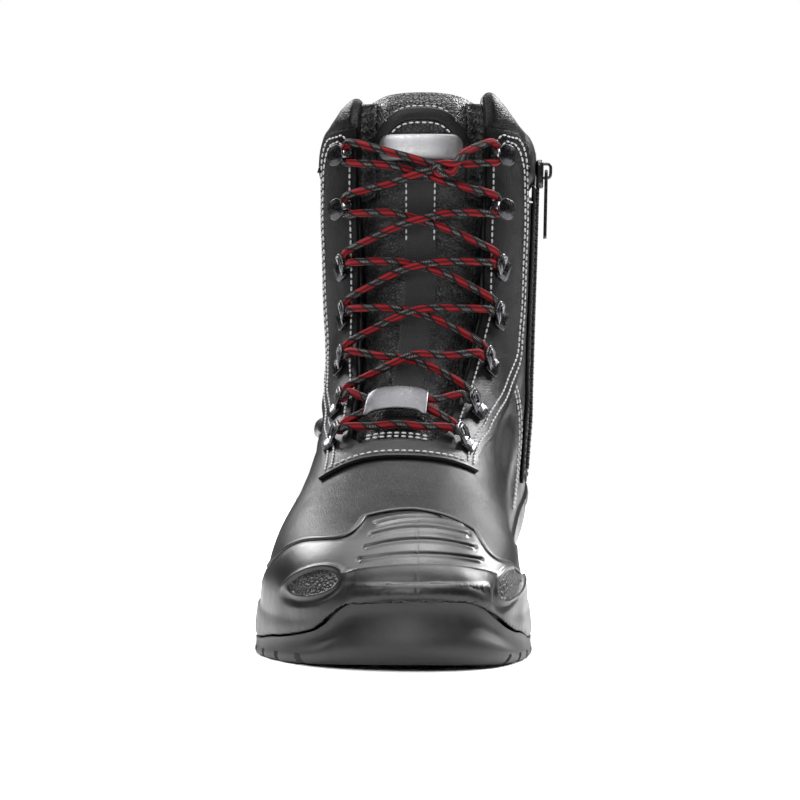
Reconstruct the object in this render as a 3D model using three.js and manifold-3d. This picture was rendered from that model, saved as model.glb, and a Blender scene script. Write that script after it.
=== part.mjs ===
// Winter safety boot for the right foot, in millimetres.
// +Z is up, the toe points to -Y and +X is the inner side of the foot.
// The origin is on the floor, under the middle of the heel.
import * as THREE from 'three';
import { mergeVertices } from 'three/addons/utils/BufferGeometryUtils.js';
import Module from 'manifold-3d';

const wasm = await Module();
wasm.setup();

// Driving sizes
const LENGTH = 308;
const HEEL_TO_BACK = 48;
const BALL_WIDTH = 116;
const HEEL_WIDTH = 84;
const SHAFT_WIDTH = 97;
const INSTEP = 91;
const HEIGHT = 240;
const FORE_SOLE = 16;
const HEEL_SOLE = 30;
const TOE_SPRING = 6;
const WALL = 2.4;
const GAP = 0.3;
const INSOLE = 4;
const FEATHER = 4;
const FACING = 1.7;
const BAND = 2.6;
const TONGUE = 6.5;
const STRAP_THICK = 0.9;
const COLLAR_BASE = 194;
const COLLAR_PAD = 9;
const COLLAR_BULGE = 1.2;
const CAP = 3.2;
const BUMPER = 1.3;
const RIB_DEPTH = 1.1;
const RIM = 7;
const CAP_SIDE = 3.6;
const OUTSOLE_EDGE = 6.5;
const TOE_GUARD = 19;
const LUG = 5;
const LUG_SLOT = 4.6;
const LACE = 4.2;
const WIRE = 1.8;
const PLATE = 1;
const HOOK_HEIGHT = 6.6;
const RING_WIDTH = 9;
const RING_REACH = 7;
const RING_RISE = 4.6;
const HARDWARE_CORNER = 3;
const ZIP_TAPE = 15;
const ZIP_TAPE_THICK = 0.7;
const ZIP_TEETH = 5;
const ZIP_TEETH_THICK = 1.6;
const ZIP_TOP = 211;
const ZIP_FOOT = 72;
const SLIDER_LENGTH = 13;
const SLIDER_WIDTH = 8.5;
const SLIDER_THICK = 3.2;
const PULL_LENGTH = 26;
const PULL_WIDTH = 5.4;
const PULL_WIRE = 1.4;

const { lerp, clamp, degToRad, smoothstep } = THREE.MathUtils;
const OUTER_SIDES = 24;
const INNER_SIDES = 18;
const FAR = 400;

// Where a share of the length lies, counted from the toe
function lengthAt(share) {
  return LENGTH * share - (LENGTH - HEEL_TO_BACK);
}

// Heights up to 1 are shares of the instep, and from 1 to 2 they go on up the shaft
function heightAt(share) {
  return share <= 1 ? share * INSTEP : INSTEP + (share - 1) * (HEIGHT - INSTEP);
}

// Top of the sole under the foot: low at the ball, high at the heel, curled up at the toe
const CURL_END = 0.2;
const RISE = { from: 0.36, to: 0.74 };
function curl(y) {
  const share = (y + LENGTH - HEEL_TO_BACK) / LENGTH;
  return Math.max(0, 1 - share / CURL_END) ** 2;
}

function floorAt(y) {
  const share = (y + LENGTH - HEEL_TO_BACK) / LENGTH;
  const rise = smoothstep(share, RISE.from, RISE.to);
  return lerp(FORE_SOLE, HEEL_SOLE, rise) + TOE_SPRING * curl(y);
}

// Sections of the last: each is a rounded outline in the plane through its front point,
// its back point and the X axis. Lengths and heights are shares, widths are shares of the
// named width, and the back height counts from the feather edge.
const COLUMNS = [
  'frontAt', 'frontUp', 'backAt', 'backUp', 'of', 'half', 'middle', 'widest', 'frontPower', 'backPower',
];
const SECTIONS = [
  [0.026, 0.297, 0.026, 0.11, BALL_WIDTH, 0, 0.06, 0.5, 2.1, 2.1],
  [0.029, 0.368, 0.029, 0.035, BALL_WIDTH, 0.124, 0.056, 0.46, 2.1, 2.2],
  [0.039, 0.42, 0.039, 0, BALL_WIDTH, 0.205, 0.04, 0.42, 2.15, 2.6],
  [0.065, 0.468, 0.065, 0, BALL_WIDTH, 0.276, 0.02, 0.37, 2.2, 3],
  [0.104, 0.549, 0.104, 0, BALL_WIDTH, 0.343, 0.003, 0.33, 2.3, 3.4],
  [0.149, 0.615, 0.149, 0, BALL_WIDTH, 0.388, -0.016, 0.3, 2.3, 3.8],
  [0.201, 0.676, 0.201, 0, BALL_WIDTH, 0.426, -0.034, 0.27, 2.25, 4],
  [0.273, 0.769, 0.273, 0, BALL_WIDTH, 0.456, -0.052, 0.25, 2.2, 4],
  [0.344, 0.879, 0.351, 0, BALL_WIDTH, 0.455, -0.06, 0.23, 2.15, 4],
  [0.406, 1, 0.442, 0, BALL_WIDTH, 0.422, -0.06, 0.24, 2.15, 3.8],
  [0.464, 1.094, 0.539, 0, BALL_WIDTH, 0.39, -0.047, 0.3, 2.25, 3.6],
  [0.503, 1.174, 0.649, 0, SHAFT_WIDTH, 0.452, -0.031, 0.38, 2.35, 3.8],
  [0.529, 1.255, 0.773, 0, SHAFT_WIDTH, 0.455, -0.021, 0.44, 2.4, 4],
  [0.545, 1.329, 0.893, 0, SHAFT_WIDTH, 0.458, -0.01, 0.48, 2.45, 3.6],
  [0.555, 1.396, 0.962, 0.077, SHAFT_WIDTH, 0.46, 0, 0.5, 2.5, 2.9],
  [0.562, 1.463, 0.984, 0.242, SHAFT_WIDTH, 0.462, 0, 0.5, 2.5, 2.4],
  [0.565, 1.517, 0.981, 0.46, SHAFT_WIDTH, 0.465, 0, 0.5, 2.5, 2.2],
  [0.568, 1.577, 0.965, 0.7, SHAFT_WIDTH, 0.469, 0, 0.5, 2.5, 2.2],
  [0.571, 1.638, 0.951, 0.956, SHAFT_WIDTH, 0.474, 0, 0.5, 2.5, 2.2],
  [0.574, 1.7, 0.947, 1.141, SHAFT_WIDTH, 0.48, 0, 0.5, 2.5, 2.2],
  [0.576, 1.765, 0.955, 1.309, SHAFT_WIDTH, 0.485, 0, 0.5, 2.5, 2.25],
  [0.58, 1.832, 0.966, 1.477, SHAFT_WIDTH, 0.49, 0, 0.5, 2.5, 2.3],
  [0.582, 1.9, 0.974, 1.624, SHAFT_WIDTH, 0.493, 0, 0.5, 2.5, 2.3],
  [0.584, 1.966, 0.979, 1.758, SHAFT_WIDTH, 0.495, 0, 0.5, 2.5, 2.3],
  [0.586, 2.04, 0.981, 1.879, SHAFT_WIDTH, 0.495, 0, 0.5, 2.5, 2.3],
];
const LAST = SECTIONS.map((cells) => {
  const row = Object.fromEntries(COLUMNS.map((name, i) => [name, cells[i]]));
  const backY = lengthAt(row.backAt);
  return {
    frontY: lengthAt(row.frontAt),
    frontZ: heightAt(row.frontUp),
    backY,
    backZ: floorAt(backY) - FEATHER + heightAt(row.backUp),
    half: row.of * row.half,
    middle: row.of * row.middle,
    widest: row.widest,
    frontPower: row.frontPower,
    backPower: row.backPower,
  };
});
const TOP_STATION = LAST.length - 1;

// Smooth value through four neighbours
function catmull(a, b, c, d, t) {
  const even = 2 * b + (c - a) * t;
  const square = (2 * a - 5 * b + 4 * c - d) * t * t;
  return 0.5 * (even + square + (3 * b - a - 3 * c + d) * t * t * t);
}

function sectionAt(station) {
  const k = clamp(Math.floor(station), 0, TOP_STATION - 1);
  const near = [k - 1, k, k + 1, k + 2].map((i) => LAST[clamp(i, 0, TOP_STATION)]);
  const t = clamp(station, 0, TOP_STATION) - k;
  return Object.fromEntries(
    Object.keys(LAST[0]).map((name) => [name, catmull(...near.map((row) => row[name]), t)]),
  );
}

// A point of the last. The turn is 0 at the front, positive on the inner side.
function place(station, turn) {
  const row = sectionAt(station);
  const across = Math.sin(turn);
  const along = Math.cos(turn);
  const power = along >= 0 ? row.frontPower : row.backPower;
  const radius = (Math.abs(across) ** power + Math.abs(along) ** power) ** (-1 / power);
  const reach = along >= 0 ? 1 - row.widest : row.widest;
  const share = row.widest + reach * along * radius;
  return new THREE.Vector3(
    row.middle + row.half * across * radius,
    lerp(row.backY, row.frontY, share),
    lerp(row.backZ, row.frontZ, share),
  );
}

const STEP = 0.04;
function directions(station, turn) {
  const s = clamp(station, 0.2, TOP_STATION - STEP);
  const up = place(s + STEP, turn).sub(place(s - STEP, turn));
  const round = place(s, turn + STEP).sub(place(s, turn - STEP)).normalize();
  const out = new THREE.Vector3().crossVectors(round, up).normalize();
  return { out, round, up: new THREE.Vector3().crossVectors(out, round) };
}

function onLast(station, turn, out) {
  return place(station, turn).addScaledVector(directions(station, turn).out, out);
}

// The station at which a given turn reaches a given height, for places on the shaft
const LOWEST_SHAFT_STATION = 8;
function stationAt(z, turn) {
  let low = LOWEST_SHAFT_STATION;
  let high = TOP_STATION;
  for (let i = 0; i < 30; i += 1) {
    const middle = (low + high) / 2;
    if (place(middle, turn).z < z) low = middle;
    else high = middle;
  }
  return (low + high) / 2;
}

// A row of a table with the first column as its key, read between rows
function readTable(rows, key) {
  const next = rows.findIndex((row) => row[0] >= key);
  if (next <= 0) return rows[next === 0 ? 0 : rows.length - 1].slice(1);
  const before = rows[next - 1];
  const after = rows[next];
  const t = smoothstep(key, before[0], after[0]) * 0.5 + ((key - before[0]) / (after[0] - before[0])) * 0.5;
  return before.slice(1).map((value, i) => lerp(value, after[i + 1], t));
}

// Closed geometry from points and triangles, turned outward
function closed(points, faces) {
  const geometry = new THREE.BufferGeometry();
  geometry.setAttribute('position', new THREE.Float32BufferAttribute(points.flatMap((p) => [p.x, p.y, p.z]), 3));
  const volume = faces.reduce((sum, [a, b, c]) => {
    return sum + points[a].dot(new THREE.Vector3().crossVectors(points[b], points[c]));
  }, 0);
  geometry.setIndex(faces.flatMap(([a, b, c]) => (volume > 0 ? [a, b, c] : [a, c, b])));
  return geometry;
}

// Rings of equal count joined into one solid, with an apex at each end
function loft(first, rings, last) {
  const count = rings[0].length;
  const points = [first, ...rings.flat(), last];
  const faces = [];
  for (let j = 0; j < count; j += 1) {
    const next = (j + 1) % count;
    faces.push([0, 1 + next, 1 + j]);
    for (let i = 0; i + 1 < rings.length; i += 1) {
      const a = 1 + i * count + j;
      const b = 1 + i * count + next;
      faces.push([a, b, b + count], [a, b + count, a + count]);
    }
    const end = 1 + (rings.length - 1) * count;
    faces.push([points.length - 1, end + j, end + next]);
  }
  return closed(points, faces);
}

// The whole last, grown outward by a distance
const FORM_STATIONS = [0.5, 1, 2, 3, 4, 5, 6.5, 8, 9, 10, 11, 12, 14, 16, 18, 20.5, 24];
function lastForm(out) {
  const sides = out < 0 ? INNER_SIDES : OUTER_SIDES;
  const turns = Array.from({ length: sides }, (_, i) => (i / sides) * 2 * Math.PI);
  const rings = FORM_STATIONS.map((station) => turns.map((turn) => onLast(station, turn, out)));
  const tip = place(0, 0).add(new THREE.Vector3(0, -out, 0));
  const end = place(TOP_STATION, 0).lerp(place(TOP_STATION, Math.PI), 0.5);
  return loft(tip, rings, end);
}

// A panel that follows the last. where(a, b) gives station and turn for shares 0 to 1,
// and inner and outer give its two distances from the last.
function panel(long, wide, where, inner, outer) {
  const points = [];
  for (const side of [outer, inner]) {
    for (let i = 0; i <= long; i += 1) {
      for (let j = 0; j <= wide; j += 1) {
        const { station, turn } = where(i / long, j / wide);
        points.push(onLast(station, turn, side(station, turn, i / long, j / wide)));
      }
    }
  }
  const row = wide + 1;
  const back = (long + 1) * row;
  const faces = [];
  const quad = (a, b, c, d) => faces.push([a, b, c], [a, c, d]);
  for (let i = 0; i < long; i += 1) {
    for (let j = 0; j < wide; j += 1) {
      const a = i * row + j;
      quad(a, a + 1, a + 1 + row, a + row);
      quad(a + back, a + row + back, a + 1 + row + back, a + 1 + back);
    }
  }
  for (let i = 0; i < long; i += 1) {
    const a = i * row;
    const b = a + wide;
    quad(a, a + row, a + row + back, a + back);
    quad(b, b + back, b + row + back, b + row);
  }
  for (let j = 0; j < wide; j += 1) {
    const b = long * row + j;
    quad(j, j + back, j + 1 + back, j + 1);
    quad(b, b + 1, b + 1 + back, b + back);
  }
  return closed(points, faces);
}

// Between three.js geometry and solids that can be cut
function solid(geometry) {
  const bare = geometry.clone();
  bare.deleteAttribute('normal');
  bare.deleteAttribute('uv');
  const merged = mergeVertices(bare, 1e-4);
  return new wasm.Manifold(new wasm.Mesh({
    numProp: 3,
    vertProperties: new Float32Array(merged.attributes.position.array),
    triVerts: new Uint32Array(merged.index.array),
  }));
}

function geometryOf(manifold) {
  const mesh = manifold.getMesh();
  const geometry = new THREE.BufferGeometry();
  const positions = new Float32Array(mesh.numVert * 3);
  for (let i = 0; i < mesh.numVert; i += 1) {
    for (let k = 0; k < 3; k += 1) positions[i * 3 + k] = mesh.vertProperties[i * mesh.numProp + k];
  }
  geometry.setAttribute('position', new THREE.BufferAttribute(positions, 3));
  geometry.setIndex(new THREE.BufferAttribute(new Uint32Array(mesh.triVerts), 1));
  return geometry;
}

// A profile in the side view, given as [y, z] pairs, carried straight across the boot
const TO_SIDE_VIEW = new THREE.Matrix4().makeBasis(
  new THREE.Vector3(0, 1, 0),
  new THREE.Vector3(0, 0, 1),
  new THREE.Vector3(1, 0, 0),
);
function acrossBoot(pairs) {
  const shape = new THREE.Shape(pairs.map(([y, z]) => new THREE.Vector2(y, z)));
  const geometry = new THREE.ExtrudeGeometry(shape, { depth: FAR, bevelEnabled: false, steps: 1 });
  geometry.translate(0, 0, -FAR / 2);
  return solid(geometry.applyMatrix4(TO_SIDE_VIEW));
}

const SIDE_STEPS = 16;
function sideCurve(heightOf) {
  return Array.from({ length: SIDE_STEPS + 1 }, (_, i) => {
    const y = lengthAt(lerp(-0.03, 1.03, i / SIDE_STEPS));
    return [y, heightOf(y)];
  });
}

function aboveCurve(heightOf) {
  const curve = sideCurve(heightOf);
  return acrossBoot([...curve, [curve.at(-1)[0], FAR], [curve[0][0], FAR]]);
}

function belowCurve(heightOf) {
  const curve = sideCurve(heightOf);
  return acrossBoot([[curve[0][0], -FAR], [curve.at(-1)[0], -FAR], ...curve.reverse()]);
}

// Throat and eyestay: station, half angle of the opening, half angle of the eyestay
const THROAT = [
  [8.05, 16, 41],
  [8.65, 17, 42],
  [9.2, 25, 44],
  [10.4, 29, 51],
  [12.1, 32, 59],
  [14.1, 34, 64],
  [16.4, 34, 67],
  [19, 34, 67],
  [22, 33, 62],
];
const THROAT_FOOT = 8.65;
const FACING_FOOT = 8.05;
const FACING_TOP = 21.9;
const openTurn = (station) => degToRad(readTable(THROAT, station)[0]);
const edgeTurn = (station) => degToRad(readTable(THROAT, station)[1]);

function throatCutter(deep, high, foot, spare) {
  return solid(panel(
    14, 4,
    (a, b) => {
      const station = lerp(foot, TOP_STATION, a);
      return { station, turn: lerp(-1, 1, b) * (openTurn(station) - spare) };
    },
    () => -deep,
    () => high,
  ));
}

// Upper
const innerCavity = solid(lastForm(-WALL));
const outerForm = solid(lastForm(0));
const THROAT_DEEP = 9;
const throat = throatCutter(THROAT_DEEP, THROAT_DEEP, THROAT_FOOT, 0);
const onFloor = aboveCurve((y) => floorAt(y) + GAP);
const underCollar = belowCurve(() => COLLAR_BASE - GAP);
const upper = outerForm.subtract(innerCavity).subtract(throat).intersect(onFloor).intersect(underCollar);

// An overlay keeps the upper's facets on its inner side, a gap away from them
const clearOfUpper = solid(lastForm(GAP));
const insideUpper = solid(lastForm(-WALL - GAP));
function facingForm(inner, outer, spare) {
  return solid(panel(
    13, 12,
    (a, b) => {
      const station = lerp(FACING_FOOT - spare, FACING_TOP + spare, a);
      return { station, turn: lerp(-1, 1, b) * (edgeTurn(station) + spare) };
    },
    () => inner,
    () => outer,
  ));
}

const FACING_CLEAR = 0.035;

// Facing: the eyestay round the throat, with its bridge over the vamp
const facing = facingForm(-GAP * 2, GAP + FACING, 0).subtract(throat).subtract(clearOfUpper);

// Zip on the inner side: height and length of its middle line
const ZIP_LINE = [
  [ZIP_FOOT, -34],
  [0.5 * HEIGHT, -24],
  [ZIP_TOP, -22],
];
const INNER_TURNS = [degToRad(40), degToRad(140)];

// The place on the inner side of the shaft with a given length and height
function innerPlace(y, z) {
  let [low, high] = INNER_TURNS;
  for (let i = 0; i < 24; i += 1) {
    const middle = (low + high) / 2;
    if (place(stationAt(z, middle), middle).y < y) low = middle;
    else high = middle;
  }
  const turn = (low + high) / 2;
  return { station: stationAt(z, turn), turn };
}

function zipStrip(wide, from, to, inner, outer, long) {
  return solid(panel(
    long, 2,
    (a, b) => {
      const z = lerp(from, to, a);
      return innerPlace(readTable(ZIP_LINE, z)[0] + (b - 0.5) * wide, z);
    },
    () => inner,
    () => outer,
  ));
}

// Collar: turn in degrees and height of its top edge over the floor
const COLLAR_TOP = [
  [33, 0.985],
  [39, 0.997],
  [46, 0.982],
  [53, 0.96],
  [62, 0.94],
  [75, 0.928],
  [100, 0.925],
  [180, 0.95],
];
const COLLAR_FRONT = 34.5;
const COLLAR_SEAM = 0.35;
function collarTop(turn) {
  return readTable(COLLAR_TOP, THREE.MathUtils.radToDeg(Math.abs(turn)))[0] * HEIGHT;
}

function collarPlace(a, b) {
  const round = lerp(degToRad(COLLAR_FRONT), 2 * Math.PI - degToRad(COLLAR_FRONT), b);
  const turn = round > Math.PI ? round - 2 * Math.PI : round;
  const z = lerp(COLLAR_BASE, collarTop(turn), a);
  return { station: stationAt(z, turn), turn };
}

// Rounds the padding off towards its top edge
const ROUND_FROM = 0.55;
const THINNEST = 0.2;
function padding(a) {
  const share = clamp((a - ROUND_FROM) / (1 - ROUND_FROM), 0, 1);
  return Math.max(THINNEST, Math.sqrt(1 - share ** 2.4));
}

function collarOuter(station, turn, a) {
  return -COLLAR_PAD / 2 + (COLLAR_PAD / 2) * padding(a) + COLLAR_BULGE * Math.sin(Math.PI * a);
}

function collarInner(station, turn, a) {
  const thick = COLLAR_PAD * lerp(COLLAR_SEAM, 1, smoothstep(a, 0, COLLAR_SEAM));
  return -COLLAR_PAD / 2 - (thick - COLLAR_PAD / 2) * padding(a);
}

const collar = solid(panel(5, 24, collarPlace, collarInner, collarOuter))
  .subtract(facingForm(-3 * GAP, FACING * 3, FACING_CLEAR))
  .subtract(zipStrip(ZIP_TAPE + 4 * GAP, COLLAR_BASE - ZIP_TAPE, ZIP_TOP + ZIP_TAPE / 3, -GAP, ZIP_TAPE, 2));

// Tongue: padded, tucked under the throat's edges and bulging between them
const TONGUE_FOOT = 8.2;
const TONGUE_TOP = 23.35;
const TUCK = degToRad(5);
const FREE_FROM = 18.6;
const ROLL_FROM = 22;
const ROLL = 2.5;
function tongueTurn(station) {
  const tucked = openTurn(station) + TUCK;
  const free = degToRad(COLLAR_FRONT) - FACING_CLEAR;
  return lerp(tucked, free, smoothstep(station, FREE_FROM, FREE_FROM + 0.7));
}

function tongueOuter(station, turn) {
  const side = Math.abs(turn) / openTurn(station);
  const open = smoothstep(station, THROAT_FOOT + 0.05, THROAT_FOOT + 0.6);
  const bulge = open * (1 - smoothstep(side, 0.55, 0.93));
  const roll = ROLL * smoothstep(station, ROLL_FROM, TONGUE_TOP);
  return -WALL - 5 * GAP + bulge * (WALL + 2 * GAP) - roll;
}

function tongueInner(station, turn) {
  const roll = ROLL * smoothstep(station, ROLL_FROM, TONGUE_TOP);
  return tongueOuter(station, turn) - TONGUE + roll;
}

const upperSpace = clearOfUpper
  .subtract(insideUpper)
  .subtract(throatCutter(THROAT_DEEP, THROAT_DEEP, THROAT_FOOT + 0.04, 2 * GAP / (SHAFT_WIDTH / 2)))
  .intersect(underCollar);
const tongue = solid(panel(
  16, 8,
  (a, b) => {
    const station = lerp(TONGUE_FOOT, TONGUE_TOP, a);
    return { station, turn: lerp(-1, 1, b) * tongueTurn(station) };
  },
  tongueInner,
  tongueOuter,
)).subtract(upperSpace);

// Strap and badge lie on the tongue
function onTongue(long, wide, from, to, halfTurn, thick) {
  return solid(panel(
    long, wide,
    (a, b) => ({ station: lerp(from, to, a), turn: lerp(-1, 1, b) * degToRad(halfTurn) }),
    (station, turn) => tongueOuter(station, turn) + 2 * GAP,
    (station, turn) => tongueOuter(station, turn) + 2 * GAP + thick,
  ));
}
const tongueStrap = onTongue(10, 3, 9.35, 19.4, 8.5, STRAP_THICK);
const tongueBadge = onTongue(2, 6, 20.45, 21.5, 22, PLATE);

// Sole outline: share of the length, then shares of the width on the outer and inner side
const OUTLINE = [
  [0.0, BALL_WIDTH, -0.06, 0.06],
  [0.012, BALL_WIDTH, 0.09, 0.195],
  [0.038, BALL_WIDTH, 0.215, 0.29],
  [0.081, BALL_WIDTH, 0.33, 0.357],
  [0.146, BALL_WIDTH, 0.437, 0.405],
  [0.227, BALL_WIDTH, 0.519, 0.435],
  [0.308, BALL_WIDTH, 0.56, 0.44],
  [0.38, BALL_WIDTH, 0.55, 0.424],
  [0.455, BALL_WIDTH, 0.512, 0.382],
  [0.54, BALL_WIDTH, 0.458, 0.344],
  [0.62, HEEL_WIDTH, 0.575, 0.455],
  [0.7, HEEL_WIDTH, 0.533, 0.463],
  [0.78, HEEL_WIDTH, 0.51, 0.485],
  [0.86, HEEL_WIDTH, 0.497, 0.49],
  [0.925, HEEL_WIDTH, 0.447, 0.445],
  [0.975, HEEL_WIDTH, 0.29, 0.295],
  [1.0, HEEL_WIDTH, 0, 0],
];
const OUTLINE_SIDES = 40;
const outlineCurve = new THREE.CatmullRomCurve3(
  [
    ...OUTLINE.map(([at, width, , inner]) => new THREE.Vector3(width * inner, lengthAt(at), 0)),
    ...OUTLINE.slice(1, -1).reverse().map(([at, width, outer]) => {
      return new THREE.Vector3(-width * outer, lengthAt(at), 0);
    }),
  ],
  true,
  'centripetal',
);
const outlinePoints = outlineCurve.getSpacedPoints(OUTLINE_SIDES).slice(0, OUTLINE_SIDES);

// The outline moved inward by a distance, at a height that may follow the length
function outlineRing(inset, heightOf) {
  return outlinePoints.map((point, i) => {
    const before = outlinePoints[(i + OUTLINE_SIDES - 1) % OUTLINE_SIDES];
    const after = outlinePoints[(i + 1) % OUTLINE_SIDES];
    const along = after.clone().sub(before).normalize();
    const x = point.x - along.y * inset;
    const y = point.y + along.x * inset;
    return new THREE.Vector3(x, y, heightOf(y));
  });
}

function centreOf(ring) {
  return ring.reduce((sum, point) => sum.add(point), new THREE.Vector3()).divideScalar(ring.length);
}

// The underside closes on a point far below, and the tread's own curve then cuts it flat
const KEEL = 40;
function soleLoft(levels) {
  const rings = levels.map(([inset, heightOf]) => outlineRing(inset, heightOf));
  const keel = centreOf(rings[0]).sub(new THREE.Vector3(0, 0, KEEL));
  return solid(loft(keel, rings, centreOf(rings.at(-1))));
}

// Side of the sole: a lip at the floor, a shallow waist and a wall that leans in to the upper
const tread = (y) => TOE_SPRING * curl(y);
const seam = (y) => {
  const share = (y + LENGTH - HEEL_TO_BACK) / LENGTH;
  return OUTSOLE_EDGE + TOE_GUARD * (1 - smoothstep(share, 0.03, 0.15));
};
const soleSide = (share) => (y) => lerp(tread(y), floorAt(y) + RIM, share);
const soleBody = soleLoft([
  [1.4, soleSide(-0.05)],
  [0, soleSide(0.1)],
  [0.2, soleSide(0.3)],
  [0.9, soleSide(0.65)],
  [1.8, soleSide(1)],
]);

// Toe cap: turn from the top in degrees, station of its edge
const CAP_EDGE = [
  [0, 5.75],
  [24, 5.35],
  [30, 4.8],
  [36, 4.5],
  [45, 4.65],
  [60, 5.6],
  [72, 6.3],
  [84, 6.9],
  [100, 7.1],
];
const CAP_LOW = degToRad(112);
const BUMPER_TOP = 2.25;
function capPlace(a, b) {
  const turn = lerp(-CAP_LOW, CAP_LOW, b);
  const [edge] = readTable(CAP_EDGE, THREE.MathUtils.radToDeg(Math.abs(turn)));
  return { station: lerp(0.25, edge, a), turn };
}

function capOuter(station, turn, a) {
  const bumper = BUMPER * (1 - smoothstep(station, BUMPER_TOP - 0.25, BUMPER_TOP));
  const low = smoothstep(Math.abs(turn), degToRad(60), degToRad(85));
  return lerp(CAP + bumper, CAP_SIDE, low) - (CAP - 1.5) * smoothstep(a, 0.9, 1);
}

const capSkin = solid(panel(7, 18, capPlace, () => -FEATHER, capOuter));

// Ribs: grooves cut across the cap's shield
const GROOVES = [2.7, 3.35, 4.05, 4.75];
const GROOVE_WIDE = 0.07;
const GROOVE_TURNS = [40, 36, 31, 27];
const grooves = GROOVES.map((station, i) => solid(panel(
  1, 5,
  (a, b) => ({
    station: station + lerp(-GROOVE_WIDE, GROOVE_WIDE, a) - 0.22 * (2 * b - 1) ** 2,
    turn: lerp(-1, 1, b) * degToRad(GROOVE_TURNS[i]),
  }),
  () => CAP - RIB_DEPTH,
  () => CAP + 2,
)));

const footSpace = solid(lastForm(GAP)).intersect(aboveCurve(floorAt));
let midsole = soleBody.add(capSkin);
for (const groove of grooves) midsole = midsole.subtract(groove);
midsole = midsole.intersect(aboveCurve((y) => seam(y) + GAP)).subtract(footSpace);

// Outsole: the tread, cut into lugs, with its guard curled up over the toe
function slot(at, slant, from, to, wide) {
  const box = new THREE.BoxGeometry(to - from, wide, LUG * 2);
  box.translate((from + to) / 2, 0, 0);
  box.rotateZ(degToRad(slant));
  const y = lengthAt(at);
  box.translate(0, y, tread(y));
  return solid(box);
}
const FORE_SLOTS = [0.07, 0.125, 0.18, 0.235, 0.29, 0.345, 0.4, 0.455];
const HEEL_SLOTS = [0.7, 0.76, 0.92, 0.97];
const EDGE = BALL_WIDTH;
const LUG_INNER = 17;
let outsole = soleBody.intersect(belowCurve(seam)).intersect(aboveCurve(tread)).subtract(footSpace);
for (const at of FORE_SLOTS) {
  outsole = outsole.subtract(slot(at, 10, LUG_INNER, EDGE, LUG_SLOT));
  outsole = outsole.subtract(slot(at, -10, -EDGE, -LUG_INNER, LUG_SLOT));
}
for (const at of HEEL_SLOTS) outsole = outsole.subtract(slot(at, 0, -EDGE, EDGE, LUG_SLOT));
for (const side of [-1, 1]) {
  const channel = new THREE.BoxGeometry(LUG_SLOT, LENGTH * 0.4, LUG * 1.4);
  channel.translate(side * LUG_INNER, lengthAt(0.265), 0);
  outsole = outsole.subtract(solid(channel));
}
const arch = acrossBoot([
  [lengthAt(0.485), -FAR / 8],
  [lengthAt(0.5), LUG],
  [lengthAt(0.635), LUG],
  [lengthAt(0.65), -FAR / 8],
]);
outsole = outsole.subtract(arch);

// Insole
const insole = insideUpper
  .intersect(aboveCurve((y) => floorAt(y) + GAP))
  .intersect(belowCurve((y) => floorAt(y) + GAP + INSOLE));

// A local frame on the last: x away from the throat's middle, y up the throat, z outward
function frameOnLast(station, turn, out) {
  const { round, up, out: normal } = directions(station, turn);
  const side = turn < 0 ? -1 : 1;
  const frame = new THREE.Matrix4().makeBasis(
    round.multiplyScalar(side),
    up.multiplyScalar(side),
    normal,
  );
  return frame.setPosition(onLast(station, turn, out));
}

function roundBar(radius, sides, points) {
  const shape = new THREE.Shape(Array.from({ length: sides }, (_, i) => {
    const angle = ((i + 0.5) / sides) * 2 * Math.PI;
    return new THREE.Vector2(radius * Math.cos(angle), radius * Math.sin(angle));
  }));
  const path = new THREE.CatmullRomCurve3(points);
  const steps = Math.ceil(path.getLength() / (radius * 8));
  return solid(new THREE.ExtrudeGeometry(shape, { steps, bevelEnabled: false, extrudePath: path }));
}

function roundedPlate(long, wide, thick, corner) {
  const x = long / 2 - corner;
  const y = wide / 2 - corner;
  const shape = new THREE.Shape();
  shape.absarc(x, y, corner, 0, Math.PI / 2);
  shape.absarc(-x, y, corner, Math.PI / 2, Math.PI);
  shape.absarc(-x, -y, corner, Math.PI, 1.5 * Math.PI);
  shape.absarc(x, -y, corner, 1.5 * Math.PI, 2 * Math.PI);
  return new THREE.ExtrudeGeometry(shape, { depth: thick, bevelEnabled: false, curveSegments: 1 });
}

// Hardware: each row's station and the turn of its middle
const ROWS = [
  { station: 20.8, turn: 38, kind: 'hook' },
  { station: 18.7, turn: 38.5, kind: 'hook' },
  { station: 16.4, turn: 42, kind: 'ring' },
  { station: 14.1, turn: 41, kind: 'ring' },
  { station: 12.1, turn: 40, kind: 'ring' },
  { station: 10.4, turn: 37, kind: 'ring' },
  { station: 9.2, turn: 32.5, kind: 'ring' },
];
const SEAT = FACING + 2.5 * GAP;

function laceRing() {
  const half = RING_WIDTH / 2;
  const plate = roundedPlate(RING_REACH, RING_WIDTH, PLATE, HARDWARE_CORNER).translate(RING_REACH / 3, 0, 0);
  const loop = roundBar(WIRE / 2, 5, [
    new THREE.Vector3(RING_REACH / 4, -half + WIRE, PLATE / 2),
    new THREE.Vector3(-RING_REACH / 3, -half + WIRE / 3, RING_RISE * 0.55),
    new THREE.Vector3(-RING_REACH * 0.85, -half / 2, RING_RISE),
    new THREE.Vector3(-RING_REACH * 0.85, half / 2, RING_RISE),
    new THREE.Vector3(-RING_REACH / 3, half - WIRE / 3, RING_RISE * 0.55),
    new THREE.Vector3(RING_REACH / 4, half - WIRE, PLATE / 2),
  ]);
  return solid(plate).add(loop);
}

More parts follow.
